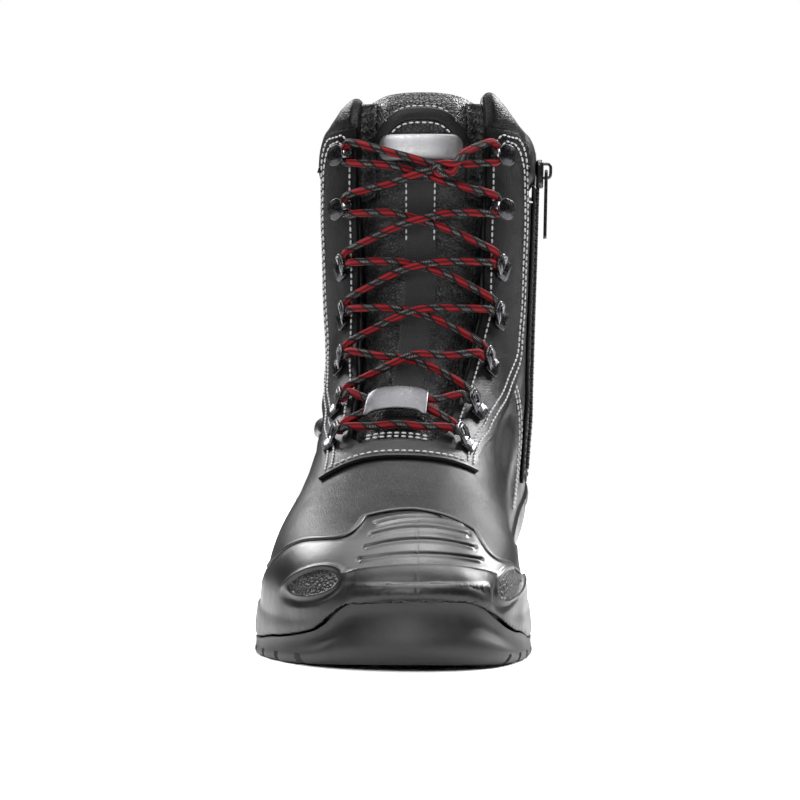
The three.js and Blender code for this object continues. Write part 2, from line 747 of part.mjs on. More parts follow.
function laceHook() {
  const base = roundedPlate(RING_REACH, RING_WIDTH * 0.7, PLATE, WIRE);
  const head = roundedPlate(RING_WIDTH, RING_WIDTH, PLATE, HARDWARE_CORNER);
  head.translate(PLATE, 0, HOOK_HEIGHT - PLATE);
  const neck = new THREE.BoxGeometry(PLATE * 1.4, RING_WIDTH * 0.5, HOOK_HEIGHT);
  neck.translate(-RING_REACH / 2 + PLATE, 0, HOOK_HEIGHT / 2);
  return solid(base).add(solid(neck)).add(solid(head));
}

// A round cord through given points, with one ring of corners at each
function cordThrough(points, radius, sides) {
  let across = new THREE.Vector3(0, 0, 1);
  const rings = points.map((point, i) => {
    const before = points[Math.max(i - 1, 0)];
    const after = points[Math.min(i + 1, points.length - 1)];
    const along = after.clone().sub(before).normalize();
    across = across.clone().addScaledVector(along, -across.dot(along)).normalize();
    const beside = new THREE.Vector3().crossVectors(along, across);
    return Array.from({ length: sides }, (_, k) => {
      const angle = (k / sides) * 2 * Math.PI;
      return point.clone()
        .addScaledVector(across, radius * Math.cos(angle))
        .addScaledVector(beside, radius * Math.sin(angle));
    });
  });
  return solid(loft(points[0], rings, points.at(-1)));
}

// Lace: one cord that runs up the throat on both sides, past each ring and hook on its
// throat side and over the tongue between rows, with its ends crossed at the top hooks
const LACE_SIDES = 5;
const BESIDE = { hook: 6.8, ring: 9.8 };
const LEAVE = 0.25;
const ARRIVE = -0.35;
const CROSSING = STRAP_THICK + 3.5 * GAP + LACE / 2;
function besideRow(row, side, up) {
  return { station: row.station + up, turn: side * degToRad(row.turn - BESIDE[row.kind]) };
}

function laceSpan(from, to, steps) {
  return Array.from({ length: steps + 1 }, (_, i) => {
    const t = i / steps;
    const station = lerp(from.station, to.station, t);
    const overTongue = tongueOuter(station, 0) + CROSSING;
    const out = lerp(SEAT + GAP + LACE / 2, overTongue, Math.sin(Math.PI * t));
    return onLast(station, lerp(from.turn, to.turn, t), out);
  });
}

function laceRun(firstSide) {
  const points = [];
  let side = firstSide;
  for (const [i, row] of [...ROWS.entries()].reverse()) {
    const next = ROWS[i - 1];
    const arrive = row === ROWS.at(-1) ? 0 : ARRIVE;
    points.push(laceSpan(besideRow(row, side, arrive), besideRow(row, side, LEAVE), 1)[0]);
    const end = next ? besideRow(next, -side, ARRIVE) : besideRow(row, -side, 0);
    points.push(...laceSpan(besideRow(row, side, LEAVE), end, 4).slice(0, next ? 4 : 5));
    side = -side;
  }
  return cordThrough(points, LACE / 2, LACE_SIDES);
}
const laceBar = cordThrough(
  laceSpan(besideRow(ROWS.at(-1), -1, 0), besideRow(ROWS.at(-1), 1, 0), 4),
  LACE / 2,
  LACE_SIDES,
);
const lace = laceBar.add(laceRun(-1)).add(laceRun(1));

// Lace plate over the lowest crossing
const PLATE_STATION = 9.85;
const plateSeat = (station) => tongueOuter(station, 0) + CROSSING + LACE / 2 + 2 * GAP;
const lacePlate = solid(panel(
  2, 8,
  (a, b) => ({ station: PLATE_STATION + lerp(-0.3, 0.3, a), turn: degToRad(lerp(-17, 14, b)) }),
  plateSeat,
  (station) => plateSeat(station) + PLATE,
));

// Ankle band: raised roll from the eyestay's outer edge round the outer side
const BAND_FRONT = { turn: -54, z: 93 };
const BAND_BACK = { turn: -150, z: 62 };
const BAND_WIDE = 7;
const ankleBand = solid(panel(
  10, 4,
  (a, b) => {
    const turn = degToRad(lerp(BAND_FRONT.turn, BAND_BACK.turn, a));
    const z = lerp(BAND_FRONT.z, BAND_BACK.z, a) + 6 * Math.sin(Math.PI * a) + (b - 0.5) * BAND_WIDE;
    return { station: stationAt(z, turn), turn };
  },
  () => -GAP,
  (station, turn, a, b) => GAP + 0.5 + BAND * Math.sin(Math.PI * b) * (1 - 0.8 * a ** 4),
)).subtract(clearOfUpper).subtract(facingForm(-3 * GAP, FACING * 3, FACING_CLEAR));

const ZIP_SEAT = GAP + ZIP_TAPE_THICK + GAP;
const ZIP_STOP = 3;
const SLIDER_Z = ZIP_TOP - SLIDER_LENGTH / 2;
const zipTape = zipStrip(ZIP_TAPE, ZIP_FOOT - ZIP_STOP, ZIP_TOP + ZIP_STOP, -GAP * 2, GAP + ZIP_TAPE_THICK, 10)
  .subtract(clearOfUpper);
const zipTeeth = zipStrip(
  ZIP_TEETH, ZIP_FOOT, ZIP_TOP - SLIDER_LENGTH - GAP, ZIP_SEAT, ZIP_SEAT + ZIP_TEETH_THICK, 10,
);

// Slider and pull in a frame of their own: x across the zip and level, y up the shaft, z outward
const { station: sliderStation, turn: sliderTurn } = innerPlace(readTable(ZIP_LINE, SLIDER_Z)[0], SLIDER_Z);
const sliderOut = directions(sliderStation, sliderTurn).out;
const sliderAcross = new THREE.Vector3(0, 0, 1).cross(sliderOut).normalize();
const sliderFrame = new THREE.Matrix4()
  .makeBasis(sliderAcross, sliderOut.clone().cross(sliderAcross), sliderOut)
  .setPosition(onLast(sliderStation, sliderTurn, ZIP_SEAT));
const PULL_CLEAR = 2 * GAP;
const PIVOT = { y: SLIDER_LENGTH * 0.12, z: SLIDER_THICK + PULL_WIRE / 2 + PULL_CLEAR };
function zipSlider() {
  const body = roundedPlate(SLIDER_WIDTH, SLIDER_LENGTH, SLIDER_THICK, SLIDER_WIDTH / 3);
  const rise = PIVOT.z + PULL_WIRE / 2 + PULL_CLEAR;
  const reach = 2.1 * PULL_WIRE;
  const bridge = roundBar(PULL_WIRE / 2, 6, [
    new THREE.Vector3(0, PIVOT.y + reach, SLIDER_THICK / 2),
    new THREE.Vector3(0, PIVOT.y + reach, rise),
    new THREE.Vector3(0, PIVOT.y, rise + PULL_WIRE / 2),
    new THREE.Vector3(0, PIVOT.y - reach, rise),
    new THREE.Vector3(0, PIVOT.y - reach, SLIDER_THICK / 2),
  ]);
  return solid(body).add(bridge);
}

function zipPull() {
  const outline = new THREE.Shape();
  const hole = new THREE.Path();
  const half = PULL_WIDTH / 2;
  const hollow = half - PULL_WIRE;
  outline.absarc(0, 0, half, 0, Math.PI);
  outline.absarc(0, -PULL_LENGTH, half, Math.PI, 2 * Math.PI);
  hole.absarc(0, 0, hollow, 0, Math.PI);
  hole.absarc(0, -PULL_LENGTH, hollow, Math.PI, 2 * Math.PI);
  outline.holes.push(hole);
  const loop = new THREE.ExtrudeGeometry(outline, { depth: PULL_WIRE, bevelEnabled: false, curveSegments: 4 });
  return solid(loop.translate(0, -hollow - PULL_WIRE / 2, -PULL_WIRE / 2));
}

// Scene graph
const finishes = {
  leather: new THREE.MeshStandardMaterial({ color: 0x26262a, roughness: 0.48, metalness: 0 }),
  softLeather: new THREE.MeshStandardMaterial({ color: 0x1c1c1f, roughness: 0.55, metalness: 0 }),
  midsole: new THREE.MeshStandardMaterial({ color: 0x2b2c2f, roughness: 0.5, metalness: 0 }),
  outsole: new THREE.MeshStandardMaterial({ color: 0x3a3b3e, roughness: 0.6, metalness: 0 }),
  insole: new THREE.MeshStandardMaterial({ color: 0x55585c, roughness: 0.9, metalness: 0 }),
  strap: new THREE.MeshStandardMaterial({ color: 0x303134, roughness: 0.7, metalness: 0 }),
  badge: new THREE.MeshStandardMaterial({ color: 0xc4c4c8, roughness: 0.4, metalness: 0.3 }),
  metal: new THREE.MeshStandardMaterial({ color: 0x4a4c50, roughness: 0.3, metalness: 0.9 }),
  lace: new THREE.MeshStandardMaterial({ color: 0x5a1518, roughness: 0.8, metalness: 0 }),
  tape: new THREE.MeshStandardMaterial({ color: 0x161618, roughness: 0.9, metalness: 0 }),
};

const boot = new THREE.Group();
function addPart(name, body, finish, frame) {
  const mesh = new THREE.Mesh(geometryOf(body), finish);
  mesh.name = name;
  if (frame) frame.decompose(mesh.position, mesh.quaternion, mesh.scale);
  boot.add(mesh);
}

addPart('outsole', outsole, finishes.outsole);
addPart('midsole', midsole, finishes.midsole);
addPart('upper', upper, finishes.leather);
addPart('insole', insole, finishes.insole);
addPart('facing', facing, finishes.leather);
addPart('collar', collar, finishes.softLeather);
addPart('tongue', tongue, finishes.softLeather);
addPart('tongue_strap', tongueStrap, finishes.strap);
addPart('tongue_badge', tongueBadge, finishes.badge);
addPart('ankle_band', ankleBand, finishes.leather);
addPart('zip_tape', zipTape, finishes.tape);
addPart('zip_teeth', zipTeeth, finishes.tape);
addPart('zip_slider', zipSlider(), finishes.metal, sliderFrame);
const pullFrame = sliderFrame.clone().multiply(new THREE.Matrix4().makeTranslation(0, PIVOT.y, PIVOT.z));
addPart('zip_pull', zipPull(), finishes.metal, pullFrame);

ROWS.forEach((row, i) => {
  for (const [name, side] of [['outer', -1], ['inner', 1]]) {
    const frame = frameOnLast(row.station, side * degToRad(row.turn), SEAT);
    const body = row.kind === 'hook' ? laceHook() : laceRing();
    addPart(`${row.kind}_${name}_${i + 1}`, body, finishes.metal, frame);
  }
});
addPart('lace', lace, finishes.lace);
addPart('lace_plate', lacePlate, finishes.badge);

export default boot;
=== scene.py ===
"""Dresses the winter safety boot in leather, rubber, laces and metal, and sets up a plain studio.

Lengths are in millimetres until a piece is finished, which turns them into metres.
+Z is up, the toe points to -Y and +X is the inner side of the foot.
"""

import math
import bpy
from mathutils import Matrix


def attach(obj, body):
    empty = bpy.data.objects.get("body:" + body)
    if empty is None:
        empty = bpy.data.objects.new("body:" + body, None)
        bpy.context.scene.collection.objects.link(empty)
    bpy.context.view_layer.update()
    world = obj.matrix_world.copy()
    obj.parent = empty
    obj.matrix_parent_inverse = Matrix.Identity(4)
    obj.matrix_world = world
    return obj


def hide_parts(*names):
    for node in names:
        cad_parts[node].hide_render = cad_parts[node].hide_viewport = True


bl_info = {
    "name": "Winter safety boot",
    "version": (1, 0, 0),
    "blender": (4, 5, 0),
    "location": "View3D > Sidebar > Boot",
    "description": "Builds the dressed winter safety boot around its solids",
    "category": "Object",
}

from functools import lru_cache

import bmesh
import bpy
from mathutils import Matrix, Vector, noise

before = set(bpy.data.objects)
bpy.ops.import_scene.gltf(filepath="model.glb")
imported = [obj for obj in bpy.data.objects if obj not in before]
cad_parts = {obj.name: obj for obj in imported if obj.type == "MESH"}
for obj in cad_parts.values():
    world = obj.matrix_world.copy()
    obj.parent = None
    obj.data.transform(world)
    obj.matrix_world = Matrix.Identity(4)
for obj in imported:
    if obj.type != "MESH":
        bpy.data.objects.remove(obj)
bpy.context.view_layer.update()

# Driving sizes, as in the solids
LENGTH = 308
HEEL_TO_BACK = 48
BALL_WIDTH = 116
HEEL_WIDTH = 84
SHAFT_WIDTH = 97
INSTEP = 91
HEIGHT = 240
FORE_SOLE = 16
HEEL_SOLE = 30
TOE_SPRING = 6
WALL = 2.4
GAP = 0.3
INSOLE = 4
FEATHER = 4
FACING = 1.7
TONGUE = 6.5
STRAP_THICK = 0.9
COLLAR_BASE = 194
COLLAR_PAD = 9
COLLAR_BULGE = 1.2
CAP = 3.2
CAP_SIDE = 3.6
RIM = 7
LUG = 5
LUG_SLOT = 4.6
LACE = 4.2
WIRE = 1.8
PLATE = 1
HOOK_HEIGHT = 6.6
RING_WIDTH = 9
RING_REACH = 7
RING_RISE = 4.6
ZIP_TAPE = 15
ZIP_TAPE_THICK = 0.7
ZIP_TEETH_THICK = 1.6
ZIP_TOP = 211
ZIP_FOOT = 72
SLIDER_LENGTH = 13
SLIDER_WIDTH = 8.5
SLIDER_THICK = 3.2
PULL_LENGTH = 26
PULL_WIDTH = 5.4
PULL_WIRE = 1.4
SEAT = FACING + 2.5 * GAP

# Rounded sections of the last, from the toe to the top: where the front and back points lie
# as shares of the length and heights, the width it follows, half width, offset of the middle,
# widest share and the roundness of the front and back halves
SECTIONS = (
    (0.026, 0.297, 0.026, 0.11, BALL_WIDTH, 0, 0.06, 0.5, 2.1, 2.1),
    (0.029, 0.368, 0.029, 0.035, BALL_WIDTH, 0.124, 0.056, 0.46, 2.1, 2.2),
    (0.039, 0.42, 0.039, 0, BALL_WIDTH, 0.205, 0.04, 0.42, 2.15, 2.6),
    (0.065, 0.468, 0.065, 0, BALL_WIDTH, 0.276, 0.02, 0.37, 2.2, 3),
    (0.104, 0.549, 0.104, 0, BALL_WIDTH, 0.343, 0.003, 0.33, 2.3, 3.4),
    (0.149, 0.615, 0.149, 0, BALL_WIDTH, 0.388, -0.016, 0.3, 2.3, 3.8),
    (0.201, 0.676, 0.201, 0, BALL_WIDTH, 0.426, -0.034, 0.27, 2.25, 4),
    (0.273, 0.769, 0.273, 0, BALL_WIDTH, 0.456, -0.052, 0.25, 2.2, 4),
    (0.344, 0.879, 0.351, 0, BALL_WIDTH, 0.455, -0.06, 0.23, 2.15, 4),
    (0.406, 1, 0.442, 0, BALL_WIDTH, 0.422, -0.06, 0.24, 2.15, 3.8),
    (0.464, 1.094, 0.539, 0, BALL_WIDTH, 0.39, -0.047, 0.3, 2.25, 3.6),
    (0.503, 1.174, 0.649, 0, SHAFT_WIDTH, 0.452, -0.031, 0.38, 2.35, 3.8),
    (0.529, 1.255, 0.773, 0, SHAFT_WIDTH, 0.455, -0.021, 0.44, 2.4, 4),
    (0.545, 1.329, 0.893, 0, SHAFT_WIDTH, 0.458, -0.01, 0.48, 2.45, 3.6),
    (0.555, 1.396, 0.962, 0.077, SHAFT_WIDTH, 0.46, 0, 0.5, 2.5, 2.9),
    (0.562, 1.463, 0.984, 0.242, SHAFT_WIDTH, 0.462, 0, 0.5, 2.5, 2.4),
    (0.565, 1.517, 0.981, 0.46, SHAFT_WIDTH, 0.465, 0, 0.5, 2.5, 2.2),
    (0.568, 1.577, 0.965, 0.7, SHAFT_WIDTH, 0.469, 0, 0.5, 2.5, 2.2),
    (0.571, 1.638, 0.951, 0.956, SHAFT_WIDTH, 0.474, 0, 0.5, 2.5, 2.2),
    (0.574, 1.7, 0.947, 1.141, SHAFT_WIDTH, 0.48, 0, 0.5, 2.5, 2.2),
    (0.576, 1.765, 0.955, 1.309, SHAFT_WIDTH, 0.485, 0, 0.5, 2.5, 2.25),
    (0.58, 1.832, 0.966, 1.477, SHAFT_WIDTH, 0.49, 0, 0.5, 2.5, 2.3),
    (0.582, 1.9, 0.974, 1.624, SHAFT_WIDTH, 0.493, 0, 0.5, 2.5, 2.3),
    (0.584, 1.966, 0.979, 1.758, SHAFT_WIDTH, 0.495, 0, 0.5, 2.5, 2.3),
    (0.586, 2.04, 0.981, 1.879, SHAFT_WIDTH, 0.495, 0, 0.5, 2.5, 2.3),
)
TOP_STATION = len(SECTIONS) - 1

# Throat and eyestay: station, half angle of the opening, half angle of the eyestay
THROAT = (
    (8.05, 16, 41),
    (8.65, 17, 42),
    (9.2, 25, 44),
    (10.4, 29, 51),
    (12.1, 32, 59),
    (14.1, 34, 64),
    (16.4, 34, 67),
    (19, 34, 67),
    (22, 33, 62),
)
THROAT_FOOT = 8.65
FACING_FOOT = 8.05
FACING_TOP = 21.9

# Collar: turn in degrees, height of its top edge as a share of the height
COLLAR_TOP = (
    (33, 0.985),
    (39, 0.997),
    (46, 0.982),
    (53, 0.96),
    (62, 0.94),
    (75, 0.928),
    (100, 0.925),
    (180, 0.95),
)
COLLAR_FRONT = 34.5
TONGUE_FOOT = 8.2
TONGUE_TOP = 23.35

# Sole outline: share of the length, width it follows, shares on the outer and inner side
OUTLINE = (
    (0.0, BALL_WIDTH, -0.06, 0.06),
    (0.012, BALL_WIDTH, 0.09, 0.195),
    (0.038, BALL_WIDTH, 0.215, 0.29),
    (0.081, BALL_WIDTH, 0.33, 0.357),
    (0.146, BALL_WIDTH, 0.437, 0.405),
    (0.227, BALL_WIDTH, 0.519, 0.435),
    (0.308, BALL_WIDTH, 0.56, 0.44),
    (0.38, BALL_WIDTH, 0.55, 0.424),
    (0.455, BALL_WIDTH, 0.512, 0.382),
    (0.54, BALL_WIDTH, 0.458, 0.344),
    (0.62, HEEL_WIDTH, 0.575, 0.455),
    (0.7, HEEL_WIDTH, 0.533, 0.463),
    (0.78, HEEL_WIDTH, 0.51, 0.485),
    (0.86, HEEL_WIDTH, 0.497, 0.49),
    (0.925, HEEL_WIDTH, 0.447, 0.445),
    (0.975, HEEL_WIDTH, 0.29, 0.295),
    (1.0, HEEL_WIDTH, 0, 0),
)

# Top edge of the outsole: share of the length, height on the outer and inner side
SOLE_SEAM = (
    (0, 26, 26),
    (0.025, 24.8, 25.6),
    (0.038, 22, 24.2),
    (0.055, 17.2, 20.8),
    (0.075, 12.8, 16.8),
    (0.1, 10.2, 13),
    (0.14, 8, 9.6),
    (0.2, 7.2, 7.4),
    (1, 6.5, 6.5),
)

# Toe cap: turn from the top in degrees, station of its edge
CAP_EDGE = (
    (0, 5.75),
    (24, 5.35),
    (30, 4.8),
    (36, 4.5),
    (45, 4.65),
    (60, 5.6),
    (72, 6.3),
    (84, 6.9),
    (100, 7.1),
)
# How far down the sides the cap reaches, and how far its edge leans to the inner side
CAP_LOW = math.radians(112)
CAP_LEAN = 8

# Hardware: station and turn of each row
ROWS = (
    (20.8, 38, "hook"),
    (18.7, 38.5, "hook"),
    (16.4, 42, "ring"),
    (14.1, 41, "ring"),
    (12.1, 40, "ring"),
    (10.4, 37, "ring"),
    (9.2, 32.5, "ring"),
)

# Middle of the zip: height and length
ZIP_LINE = ((ZIP_FOOT, -34), (0.5 * HEIGHT, -24), (ZIP_TOP, -22))


# Plain arithmetic

def lerp(a, b, t):
    return a + (b - a) * t


def clamp(value, low, high):
    return max(low, min(high, value))


def wrapped(turn):
    """A turn between -180 and 180 degrees, in radians."""
    return turn - 2 * math.pi if turn > math.pi else turn


def smoothstep(value, low, high):
    t = clamp((value - low) / (high - low), 0, 1)
    return t * t * (3 - 2 * t)


def bump_at(distance, width):
    """Height of a soft ridge of height 1, at a distance from its middle."""
    return math.exp(-((distance / width) ** 2))


def curve_at(places, t):
    """A smooth curve through rows of numbers, at a share of its course."""
    count = len(places) - 1
    k = min(int(t * count), count - 1)
    near = [places[clamp(k + i, 0, count)] for i in (-1, 0, 1, 2)]
    return [catmull(*values, t * count - k) for values in zip(*near)]


def evenly(fine, count):
    """Points at equal distances along a line of many points, and its length."""
    reach = [0.0]
    for a, b in zip(fine, fine[1:]):
        reach.append(reach[-1] + (b - a).length)
    found = []
    k = 0
    for i in range(count + 1):
        target = reach[-1] * i / count
        while k < len(reach) - 2 and reach[k + 1] < target:
            k += 1
        span = max(reach[k + 1] - reach[k], 1e-9)
        found.append(fine[k].lerp(fine[k + 1], clamp((target - reach[k]) / span, 0, 1)))
    return found, reach[-1]


def read_table(rows, key):
    """A row of a table with the first column as its key, read softly between rows."""
    if key <= rows[0][0]:
        return rows[0][1:]
    for before, after in zip(rows, rows[1:]):
        if key <= after[0]:
            straight = (key - before[0]) / (after[0] - before[0])
            t = 0.5 * straight + 0.5 * smoothstep(key, before[0], after[0])
            return tuple(lerp(a, b, t) for a, b in zip(before[1:], after[1:]))
    return rows[-1][1:]


def read_smooth(rows, key):
    """The same with a curve through the rows."""
    count = len(rows)
    if key <= rows[0][0]:
        return rows[0][1:]
    if key >= rows[-1][0]:
        return rows[-1][1:]
    k = next(i for i in range(count - 1) if key <= rows[i + 1][0])
    t = (key - rows[k][0]) / (rows[k + 1][0] - rows[k][0])
    near = [rows[clamp(k + i, 0, count - 1)][1:] for i in (-1, 0, 1, 2)]
    return tuple(catmull(*values, t) for values in zip(*near))


def catmull(a, b, c, d, t):
    even = 2 * b + (c - a) * t
    square = (2 * a - 5 * b + 4 * c - d) * t * t
    return 0.5 * (even + square + (3 * b - a - 3 * c + d) * t ** 3)


# The last, and places on it

def length_at(share):
    return LENGTH * share - (LENGTH - HEEL_TO_BACK)


def share_at(y):
    return (y + LENGTH - HEEL_TO_BACK) / LENGTH


def height_at(share):
    return share * INSTEP if share <= 1 else INSTEP + (share - 1) * (HEIGHT - INSTEP)


def curl(y):
    return max(0, 1 - share_at(y) / 0.2) ** 2


def floor_at(y):
    return lerp(FORE_SOLE, HEEL_SOLE, smoothstep(share_at(y), 0.36, 0.74)) + TOE_SPRING * curl(y)


def last_row(cells):
    front_at, front_up, back_at, back_up, of, half, middle, widest, front_power, back_power = cells
    back_y = length_at(back_at)
    back_z = floor_at(back_y) - FEATHER + height_at(back_up)
    front = (length_at(front_at), height_at(front_up))
    return (*front, back_y, back_z, of * half, of * middle, widest, front_power, back_power)


LAST = tuple(last_row(cells) for cells in SECTIONS)


@lru_cache(maxsize=None)
def section_at(station):
    k = clamp(math.floor(station), 0, TOP_STATION - 1)
    near = [LAST[clamp(i, 0, TOP_STATION)] for i in (k - 1, k, k + 1, k + 2)]
    t = clamp(station, 0, TOP_STATION) - k
    return tuple(catmull(*values, t) for values in zip(*near))


def place(station, turn):
    """A point of the last. The turn is 0 at the front, positive on the inner side."""
    front_y, front_z, back_y, back_z, half, middle, widest, front_power, back_power = section_at(station)
    across = math.sin(turn)
    along = math.cos(turn)
    power = front_power if along >= 0 else back_power
    radius = (abs(across) ** power + abs(along) ** power) ** (-1 / power)
    reach = 1 - widest if along >= 0 else widest
    share = widest + reach * along * radius
    x = middle + half * across * radius
    return Vector((x, lerp(back_y, front_y, share), lerp(back_z, front_z, share)))


STEP = 0.04


def directions(station, turn):
    """Outward, round and up on the last."""
    s = clamp(station, 0.2, TOP_STATION - STEP)
    up = place(s + STEP, turn) - place(s - STEP, turn)
    around = (place(s, turn + STEP) - place(s, turn - STEP)).normalized()
    out = around.cross(up).normalized()
    return out, around, out.cross(around)


def on_last(station, turn, out):
    return place(station, turn) + directions(station, turn)[0] * out


@lru_cache(maxsize=None)
def station_at(z, turn):
    low, high = 8, TOP_STATION
    for _ in range(24):
        middle = (low + high) / 2
        if place(middle, turn).z < z:
            low = middle
        else:
            high = middle
    return (low + high) / 2


def inner_place(y, z, sign=1):
    """Station and turn on the side of the shaft with a given length and height."""
    low, high = math.radians(40), math.radians(140)
    for _ in range(18):
        middle = (low + high) / 2
        if place(station_at(z, sign * middle), sign * middle).y < y:
            low = middle
        else:
            high = middle
    turn = sign * (low + high) / 2
    return station_at(z, turn), turn


def open_turn(station):
    return math.radians(read_table(THROAT, station)[0])


def edge_turn(station):
    return math.radians(read_table(THROAT, station)[1])


def collar_top(turn):
    return read_smooth(COLLAR_TOP, math.degrees(abs(turn)))[0] * HEIGHT


# Front view: where the camera stands and looks, and places of what is moulded on the cap as
# seen from there
EYE = Vector((98.5, -1875, 140.5))
AIM = Vector((-3.5, -175, 105.7))
LENS = 184.6
SENSOR = 36
VIEW_SIZE = 337.6
VIEW_FOOT = 111.4
FORWARD = (AIM - EYE).normalized()
RIGHT = FORWARD.cross(Vector((0, 0, 1))).normalized()
OVER = RIGHT.cross(FORWARD)


def front_view(point):
    """Across and up in the front view, in millimetres at the ball of the foot."""
    away = point - EYE
    scale = LENS / SENSOR * VIEW_SIZE / away.dot(FORWARD)
    return away.dot(RIGHT) * scale, away.dot(OVER) * scale + VIEW_FOOT


def front_height(x, y, up):
    """Height of the point at a length and width that shows at a height in the front view."""
    low, high = -20.0, 120.0
    for _ in range(24):
        middle = (low + high) / 2
        if front_view(Vector((x, y, middle)))[1] < up:
            low = middle
        else:
            high = middle
    return (low + high) / 2


# Making pieces

def grid(long, wide):
    """A flat sheet of quads over shares 0 to 1, with its own UV map."""
    bm = bmesh.new()
    bm.loops.layers.uv.new("UVMap")
    bmesh.ops.create_grid(bm, x_segments=long, y_segments=wide, size=0.5, calc_uvs=True)
    bmesh.ops.translate(bm, verts=bm.verts, vec=(0.5, 0.5, 0))
    return bm


def shape(bm, where):
    """Moves each point of a sheet to where(a, b)."""
    for vert in bm.verts:
        vert.co = where(clamp(vert.co.x, 0, 1), clamp(vert.co.y, 0, 1))


def merge(bm, distance=0.01):
    bmesh.ops.remove_doubles(bm, verts=bm.verts, dist=distance)


def close(bm):
    """Closes what is open and turns every face outward."""
    open_edges = [edge for edge in bm.edges if len(edge.link_faces) == 1]
    bmesh.ops.holes_fill(bm, edges=open_edges, sides=0)
    bmesh.ops.recalc_face_normals(bm, faces=bm.faces)


def thicken(bm, thick, soften=0.0, flip=True):
    """Gives a sheet its thickness below its face and softens the rim. A sheet laid out by
    station and then turn faces inward until it is flipped."""
    if flip:
        bmesh.ops.reverse_faces(bm, faces=bm.faces)
    bm.normal_update()
    rim = [edge for edge in bm.edges if len(edge.link_faces) == 1]
    below = {vert: vert.co - vert.normal * thick for vert in bm.verts}
    copied = bmesh.ops.duplicate(bm, geom=bm.verts[:] + bm.edges[:] + bm.faces[:])
    twin = copied["vert_map"]
    for vert, place_of in below.items():
        twin[vert].co = place_of
    for edge in rim:
        a, b = edge.verts
        bm.faces.new((a, b, twin[b], twin[a]))
    bmesh.ops.recalc_face_normals(bm, faces=bm.faces)
    if soften:
        sharp = [edge for edge in bm.edges if len(edge.link_faces) == 2 and edge.calc_face_angle(0) > 1]
        bmesh.ops.bevel(
            bm, geom=sharp, offset=soften, segments=2, profile=0.5, affect="EDGES", material=-1,
            clamp_overlap=True,
        )


def to_object(bm, name):
    """Turns millimetres into metres, shades the piece smooth and links it."""
    bmesh.ops.scale(bm, vec=(0.001, 0.001, 0.001), verts=bm.verts)
    mesh = bpy.data.meshes.new(name)
    bm.to_mesh(mesh)
    bm.free()
    mesh.shade_smooth()
    obj = bpy.data.objects.new(name, mesh)
    bpy.context.scene.collection.objects.link(obj)
    return obj


def dress(obj, material, nodes=(), body="boot", second=None):
    """Gives a piece its materials and its place among the solids."""
    obj.data.materials.append(material)
    if second:
        obj.data.materials.append(second)
    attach(obj, body)
    if nodes:
        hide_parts(*nodes)
    return obj


def baked(obj):
    """Applies the modifiers of a piece."""
    bpy.context.view_layer.update()
    graph = bpy.context.evaluated_depsgraph_get()
    mesh = bpy.data.meshes.new_from_object(obj.evaluated_get(graph))
    obj.modifiers.clear()
    old = obj.data
    obj.data = mesh
    bpy.data.meshes.remove(old)
    mesh.name = obj.name
    return obj


def roll(around, along, centre, half_wide, half_thick, power=2.0):
    """A closed form with a rounded section. centre(t) gives a point, its side and its outward
    direction, and half_wide(t) and half_thick(t) the half sizes of the section there."""
    bm = grid(along, around)

    def where(t, b):
        angle = 2 * math.pi * b
        point, side, out = centre(t)
        c, s = math.cos(angle), math.sin(angle)
        fit = (abs(c) ** power + abs(s) ** power) ** (-1 / power)
        return point + side * (c * fit * half_wide(t)) + out * (s * fit * half_thick(t))

    shape(bm, where)
    merge(bm, 0.002)
    close(bm)
    return bm


def spaced(path, pitch, steps=400):
    """Points of path(t) at equal distances, with the direction of travel."""
    points = [path(i / steps) for i in range(steps + 1)]
    ends = [item[0] for item in points]
    total = sum((b - a).length for a, b in zip(ends, ends[1:]))
    count = max(1, round(total / pitch))
    found = []
    walked = 0.0
    target = total / count / 2
    for (a, out_a), (b, _) in zip(points, points[1:]):
        length = (b - a).length
        while length > 0 and walked + length >= target and len(found) < count:
            t = (target - walked) / length
            found.append((a.lerp(b, t), (b - a).normalized(), out_a))
            target += total / count
        walked += length
    return found


# Share of the pitch that a stitch covers
STITCH_SHARE = 0.84


def add_stitches(bm, path, pitch, thread):
    """A row of stitches: each a bead that lies along the path."""
    for point, along, out in spaced(path, pitch):
        side = out.cross(along).normalized()
        up = along.cross(side)
        turn = Matrix((along, side, up)).transposed().to_4x4()
        size = Matrix.Diagonal((pitch * STITCH_SHARE / 2, thread / 2, thread / 2, 1))
        bmesh.ops.create_uvsphere(
            bm, u_segments=6, v_segments=5, radius=1,
            matrix=Matrix.Translation(point) @ turn @ size,
        )


def last_path(places, out):
    """A path over the last through (station, turn in degrees) places, as a smooth curve."""
    def path(t):
        station, turn = curve_at(places, t)
        turn = math.radians(turn)
        return on_last(station, turn, out), directions(station, turn)[0]

    return path


def along_path(path, step):
    """The centre that roll needs, for a form that follows a path."""
    def centre(t):
        point, out = path(t)
        along = (path(min(t + step, 1))[0] - path(max(t - step, 0))[0]).normalized()
        return point, out.cross(along).normalized(), out

    return centre
